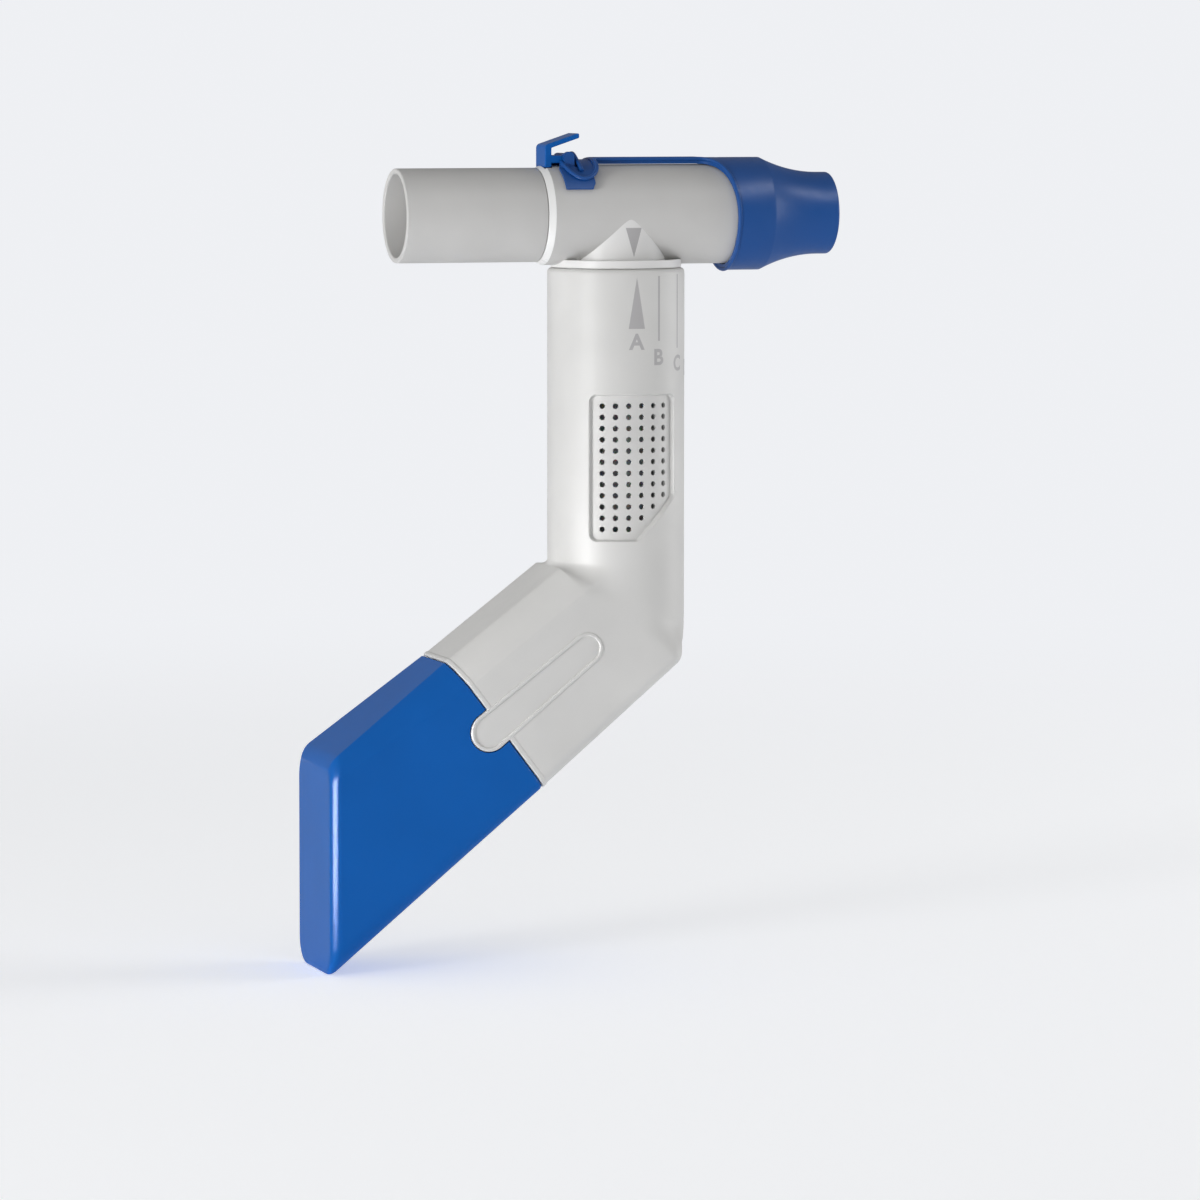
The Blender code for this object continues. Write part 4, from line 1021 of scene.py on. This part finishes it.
def mouthpiece_taper():
    """The turned taper and lip, open where it meets the collar."""
    outside = []
    for step in range(TAPER_STEPS, -1, -1):
        share = step / TAPER_STEPS
        x = between(LIP_START_X, TAPER_START_X, share)
        outside.append((between(MOUTH_R, STRAP_R, share**2), x))
    lip_centre = (MOUTH_R - MOUTH_LIP_R, MOUTHPIECE_END_X - MOUTH_LIP_R)
    lip = arc(lip_centre, MOUTH_LIP_R, MOUTH_LIP_R, 0, math.pi / 2)
    inside = [(radius - MOUTH_WALL, x) for radius, x in outside[1:]]
    tip = [(MOUTH_R - MOUTH_WALL, MOUTHPIECE_END_X)]
    profile = outside + lip + tip + inside[::-1] + [(STRAP_INNER_R, TAPER_START_X)]
    return turned(profile, "X", open_profile=True)


def on_strap(x, around, radius):
    """The place of a point of the unrolled strap, at a radius."""
    angle = around / STRAP_MID_R
    return (x, -radius * math.sin(angle), radius * math.cos(angle))


def edge_bead():
    """The raised bead along the whole edge of the collar, strap and saddle."""
    radius = STRAP_R - EDGE_BEAD_SINK
    half = strap_half_edge() + [(SADDLE_LEFT_X, LEVER_HALF_WIDTH + GAP)]
    inside = [(x + EDGE_BEAD_R / 2, around) for x, around in half]
    front = [on_strap(x, around, radius) for x, around in inside]
    back = [(x, -y, z) for x, y, z in reversed(front)]
    return swept(back + front[1:], EDGE_BEAD_R)


def ear(side):
    """The flap under the saddle that hugs the tee: side 1 is in front and -1 behind."""
    top = EAR_TOP_ANGLE * STRAP_MID_R * side
    low = EAR_ANGLE * STRAP_MID_R * side
    chamfer = EAR_CHAMFER * side
    outline = [
        (EAR_LEFT_X, top),
        (EAR_LEFT_X + EAR_CHAMFER / 2, low),
        (EAR_RIGHT_X - EAR_CHAMFER, low),
        (EAR_RIGHT_X, low - 2 * chamfer),
        (EAR_RIGHT_X, top),
    ]
    inner = STRAP_INNER_R + EAR_LIFT
    return bent(flat_plate(outline), inner, inner + EAR_THICKNESS, "X", STRAP_MID_R)


def lug(ceiling):
    """The front lug that holds one end of the lever's pin, round or cut level at a ceiling."""
    inside = LEVER_HALF_WIDTH + 2 * GAP
    outside = inside + LUG_THICKNESS
    base_z = (STRAP_INNER_R**2 - outside**2) ** 0.5
    outline = arc((PIVOT_X, PIVOT_Z + LUG_RISE), LUG_R, LUG_R, 0, math.pi, 2 * ARC_STEPS)
    outline = [(x, min(z, ceiling)) for x, z in outline]
    outline += [(PIVOT_X - LUG_R, base_z), (PIVOT_X + LUG_R, base_z)]
    return prism(outline, -outside, -inside)


def saddle_recess():
    """The tool that sinks the saddle's face inside its bead."""
    centre = (SADDLE_MIDDLE_X, SADDLE_STRAIGHT)
    half_length = SADDLE_HALF_LENGTH - SADDLE_MARGIN
    front = arc(centre, half_length, SADDLE_LOBE - SADDLE_MARGIN, 0, math.pi, 4 * ARC_STEPS)
    outline = front + [(x, -around) for x, around in reversed(front)]
    floor_r = STRAP_R - SADDLE_RECESS
    return bent(flat_plate(outline), floor_r, floor_r + STRAP_THICKNESS, "X", STRAP_MID_R)


def slot_tool():
    """The deep slot across the saddle beside its hook."""
    sides = (-SLOT_REACH, SLOT_REACH)
    outline = [(SLOT_LEFT_X, around) for around in sides]
    outline += [(HOOK_LEFT_X, around) for around in reversed(sides)]
    floor_r = STRAP_INNER_R + SLOT_FLOOR
    return bent(flat_plate(outline), floor_r, STRAP_R + STRAP_THICKNESS, "X", STRAP_MID_R)


def hook():
    """The curved rib across the saddle, tallest at its crest."""
    rings = []
    for step in range(HOOK_STEPS + 1):
        angle = HOOK_ANGLE * (2 * step / HOOK_STEPS - 1)
        crown = math.exp(-((angle / HOOK_SPREAD) ** 2))
        top = STRAP_R + HOOK_LOW + (HOOK_HIGH - HOOK_LOW) * crown
        section = [
            (HOOK_LEFT_X, STRAP_MID_R, 0),
            (HOOK_RIGHT_X, STRAP_MID_R, 0),
            (HOOK_RIGHT_X, top, HOOK_EDGE_R),
            (HOOK_LEFT_X, top, HOOK_EDGE_R),
        ]
        rings.append([(x, -r * math.sin(angle), r * math.cos(angle)) for x, r in rounded(section)])
    return loft(rings)


def mouthpiece():
    plate = flat_plate(mouthpiece_outline())
    collar = bent(plate, STRAP_INNER_R, STRAP_R, "X", STRAP_MID_R, TAPER_START_X)
    shape = welded(joined(collar, mouthpiece_taper()))
    vent = rod(VENT_R, TEE_R, STRAP_R + VENT_R, centre=(VENT_X, 0, 0), steps=SMALL_STEPS)
    for tool in (vent, saddle_recess(), slot_tool()):
        shape = combined(shape, tool, "DIFFERENCE")
    lugs = [lug(PIVOT_Z + LUG_RISE + LUG_R), mirrored(lug(BACK_LUG_TOP_Z))]
    shape = joined(shape, edge_bead(), hook(), ear(1), ear(-1), *lugs)
    piece("mouthpiece_with_strap", shape, "tee", BLUE_SATIN, "mouthpiece")


def release_lever():
    """A see-saw: its foot drops into the tee's pocket and its tab is pressed to lift it."""
    right = POST_LEFT_X + POST_THICKNESS
    rise = math.tan(TAB_ANGLE)
    tab_top = POST_TOP_Z + TAB_THICKNESS / math.cos(TAB_ANGLE)
    arm_high = PIVOT_Z + ARM_THICKNESS / 2
    corners = [
        (POST_LEFT_X, POST_FOOT_Z, 0),
        (right, POST_FOOT_Z, 0),
        (right, ARM_LOW_Z, 0),
        (PIVOT_X, ARM_LOW_Z, 0),
        (PIVOT_X, arm_high, 0),
        (right, arm_high, 0),
        (right, POST_TOP_Z, TAB_EDGE_R),
        (TAB_END_X, POST_TOP_Z + (TAB_END_X - right) * rise, TAB_EDGE_R),
        (TAB_END_X, tab_top + (TAB_END_X - right) * rise, TAB_EDGE_R),
        (POST_LEFT_X, tab_top - POST_THICKNESS * rise, TAB_THICKNESS),
    ]
    pivot = (PIVOT_X, 0, PIVOT_Z)
    pin_end = LEVER_HALF_WIDTH + GAP + LUG_THICKNESS
    shape = joined(
        prism(rounded(corners), -LEVER_HALF_WIDTH, LEVER_HALF_WIDTH),
        rod(BARREL_R, -LEVER_HALF_WIDTH, LEVER_HALF_WIDTH, "Y", pivot, SMALL_STEPS),
        rod(TRUNNION_R, -pin_end, pin_end, "Y", pivot, SMALL_STEPS),
    )
    made = piece("latch_lever", shape, "lever", BLUE, "release_lever")
    bevel = made.modifiers.new("edges", "BEVEL")
    bevel.width = LEVER_BEVEL
    bevel.segments = BEVEL_SEGMENTS
    bevel.limit_method = "ANGLE"


# Printed marks


def printed(name, flat, radius, body):
    """A thin film of ink bent round a vertical cylinder."""
    shape = bent(flat, radius - INK_SINK, radius + INK_HEIGHT, "Z", radius)
    piece(name, shape, body, INK)


def letter(text, around, top):
    """A flat letter, centred at a distance round and hanging from its top."""
    curve = bpy.data.curves.new("letter", "FONT")
    curve.body = text
    curve.offset = LETTER_WEIGHT
    holder = linked("letter", curve)
    bpy.context.view_layer.update()
    mesh = bpy.data.meshes.new_from_object(holder)
    bpy.data.objects.remove(holder)
    shape = shape_of(mesh)
    xs = [vert.co.x for vert in shape.verts]
    ys = [vert.co.y for vert in shape.verts]
    scale = LETTER_HEIGHT / (max(ys) - min(ys))
    middle = (max(xs) + min(xs)) / 2
    for vert in shape.verts:
        x, y = vert.co.x, vert.co.y
        vert.co = (top + (y - max(ys)) * scale, around + (x - middle) * scale, 0)
    bmesh.ops.remove_doubles(shape, verts=shape.verts, dist=MERGE)
    return shape


def setting_scale():
    """The arrow and lines with their letters on the neck, and the pointer on the tee."""
    half = ARROW_WIDTH / 2
    arrow = flat_plate([(ARROW_TOP_Z, 0), (ARROW_LOW_Z, half), (ARROW_LOW_Z, -half)])
    printed("scale_mark_A", arrow, NECK_R, "housing")
    printed("scale_letter_A", letter("A", 0, ARROW_LETTER_TOP_Z), NECK_R, "housing")
    for text, (angle, top, low, letter_top) in LINE_MARKS.items():
        around = angle * NECK_R
        sides = (around - LINE_WIDTH / 2, around + LINE_WIDTH / 2)
        line = flat_plate([(top, sides[0]), (low, sides[0]), (low, sides[1]), (top, sides[1])])
        printed("scale_mark_" + text, line, NECK_R, "housing")
        printed("scale_letter_" + text, letter(text, around, letter_top), NECK_R, "housing")
    half = POINTER_WIDTH / 2
    pointer = [(POINTER_TOP_Z, -half), (POINTER_TOP_Z, half), (POINTER_LOW_Z, 0)]
    pointer = flat_plate([(along, around + POINTER_AROUND) for along, around in pointer])
    printed("setting_pointer", pointer, BRANCH_R, "tee")


def dress_inner_nodes():
    """Gives the CAD pieces that stay their finish."""
    looks = {
        "valve_hose": SILICONE,
        "inhalation_flap": SILICONE,
        "nebuliser_seal": SEAL,
        "swivel_friction_ring": SEAL,
        "swivel_retaining_ring": WHITE,
        "inhalation_valve_seat": WHITE,
        "hose_clamp": WHITE,
        "hose_adapter": BLUE,
    }
    for name, look in looks.items():
        slots = frame["nodes"][name].data.materials
        slots.clear()
        slots.append(look)


# Room, light and camera


def shown_rays(tree, path):
    """The rays that show the backdrop: the camera's own, passed through and, fainter, reflected."""
    link = tree.links.new
    glossy = node(tree, "ShaderNodeMath", operation="MULTIPLY")
    glossy.inputs[1].default_value = GLOSSY_SHARE
    link(path.outputs["Is Glossy Ray"], glossy.inputs[0])
    total = path.outputs["Is Camera Ray"]
    for output in (path.outputs["Is Transmission Ray"], glossy.outputs[0]):
        either = node(tree, "ShaderNodeMath", operation="MAXIMUM")
        link(total, either.inputs[0])
        link(output, either.inputs[1])
        total = either.outputs[0]
    return total


def floor_look():
    """Pale and matt near the object, where it takes the shadow, and the backdrop's tone far off."""
    look = bpy.data.materials.new("floor")
    look.use_nodes = True
    tree = look.node_tree
    link = tree.links.new
    shader = tree.nodes["Principled BSDF"]
    shader.inputs["Base Color"].default_value = FLOOR_COLOUR
    shader.inputs["Roughness"].default_value = FLOOR_ROUGHNESS
    shader.inputs["Specular IOR Level"].default_value = 0
    path = node(tree, "ShaderNodeLightPath")
    shown = shown_rays(tree, path)
    lit = node(tree, "ShaderNodeMath", operation="MAXIMUM")
    link(shown, lit.inputs[0])
    link(path.outputs["Is Diffuse Ray"], lit.inputs[1])
    table = node(tree, "ShaderNodeEmission", Color=BACKDROP)
    link(remapped(tree, lit.outputs[0], 0, TABLE_GLOW), table.inputs["Strength"])
    near = node(tree, "ShaderNodeAddShader")
    link(shader.outputs[0], near.inputs[0])
    link(table.outputs[0], near.inputs[1])
    far = node(tree, "ShaderNodeEmission", Color=BACKDROP)
    link(remapped(tree, shown, FAR_FLOOR_LIGHT, 1), far.inputs["Strength"])
    place = node(tree, "ShaderNodeNewGeometry")
    length = node(tree, "ShaderNodeVectorMath", operation="LENGTH")
    link(place.outputs["Position"], length.inputs[0])
    mix = node(tree, "ShaderNodeMixShader")
    fade = remapped(tree, length.outputs["Value"], 0, 1, *FLOOR_FADE)
    link(fade, mix.inputs[0])
    link(near.outputs[0], mix.inputs[1])
    link(far.outputs[0], mix.inputs[2])
    link(mix.outputs[0], tree.nodes["Material Output"].inputs["Surface"])
    return look


def floor():
    corners = [(-1, -1), (1, -1), (1, 1), (-1, 1)]
    points = [(x * FLOOR_HALF, y * FLOOR_HALF, 0) for x, y in corners]
    mesh = bpy.data.meshes.new("floor")
    mesh.from_pydata(points, [], [(0, 1, 2, 3)])
    mesh.materials.append(floor_look())
    linked("floor", mesh)


def world():
    """Soft light that is strongest from the upper left and weakest from the other side."""
    scene_world = bpy.data.worlds.new("studio")
    bpy.context.scene.world = scene_world
    scene_world.use_nodes = True
    tree = scene_world.node_tree
    link = tree.links.new
    tree.nodes.clear()
    place = node(tree, "ShaderNodeTexCoord")
    facing = node(tree, "ShaderNodeVectorMath", operation="DOT_PRODUCT")
    facing.inputs[1].default_value = LIGHT_FROM
    link(place.outputs["Generated"], facing.inputs[0])
    light = node(tree, "ShaderNodeBackground", Color=(1, 1, 1, 1))
    level = remapped(tree, facing.outputs["Value"], *WORLD_RANGE, -1, 1)
    link(level, light.inputs["Strength"])
    shown = node(tree, "ShaderNodeBackground", Color=BACKDROP, Strength=1)
    mix = node(tree, "ShaderNodeMixShader")
    path = node(tree, "ShaderNodeLightPath")
    link(shown_rays(tree, path), mix.inputs[0])
    link(light.outputs[0], mix.inputs[1])
    link(shown.outputs[0], mix.inputs[2])
    output = node(tree, "ShaderNodeOutputWorld")
    link(mix.outputs[0], output.inputs["Surface"])


def softbox(name, place, size, power, aim):
    """An area light of a (width, height), aimed at a point and not seen itself."""
    data = bpy.data.lights.new(name, "AREA")
    data.shape = "RECTANGLE"
    data.size, data.size_y = size
    data.energy = power
    lamp = linked(name, data)
    lamp.location = place
    lamp.visible_camera = False
    lamp.rotation_euler = (Vector(aim) - Vector(place)).to_track_quat("-Z", "Y").to_euler()
    return lamp


def highlight_strip(name, *values):
    """A lamp that shows only as a highlight on gloss."""
    softbox(name, *values).visible_diffuse = False


def camera():
    right = Vector((math.cos(CAMERA_TURN), -math.sin(CAMERA_TURN), 0))
    level = Vector((math.sin(CAMERA_TURN), math.cos(CAMERA_TURN), 0))
    forward = level * math.cos(CAMERA_PITCH) - Vector((0, 0, math.sin(CAMERA_PITCH)))
    up = right.cross(forward)
    data = bpy.data.cameras.new("camera")
    data.lens = CAMERA_LENS
    data.sensor_width = SENSOR_WIDTH
    data.shift_x, data.shift_y = CAMERA_SHIFT
    eye = linked("camera", data)
    turn = Matrix((right, up, -forward)).transposed().to_4x4()
    eye.matrix_world = Matrix.Translation(PLACE + CAMERA_TARGET - forward * CAMERA_DISTANCE) @ turn
    bpy.context.scene.camera = eye


camera()
world()
floor()
softbox("left_softbox", *LEFT_SOFTBOX)
softbox("right_softbox", *RIGHT_SOFTBOX)
highlight_strip("edge_strip", *EDGE_STRIP)
highlight_strip("front_strip", *FRONT_STRIP)
bpy.context.scene.view_settings.view_transform = "Standard"

housing()
end_cap()
tee()
nebuliser_tube()
mouthpiece()
release_lever()
setting_scale()
dress_inner_nodes()

bpy.context.view_layer.update()
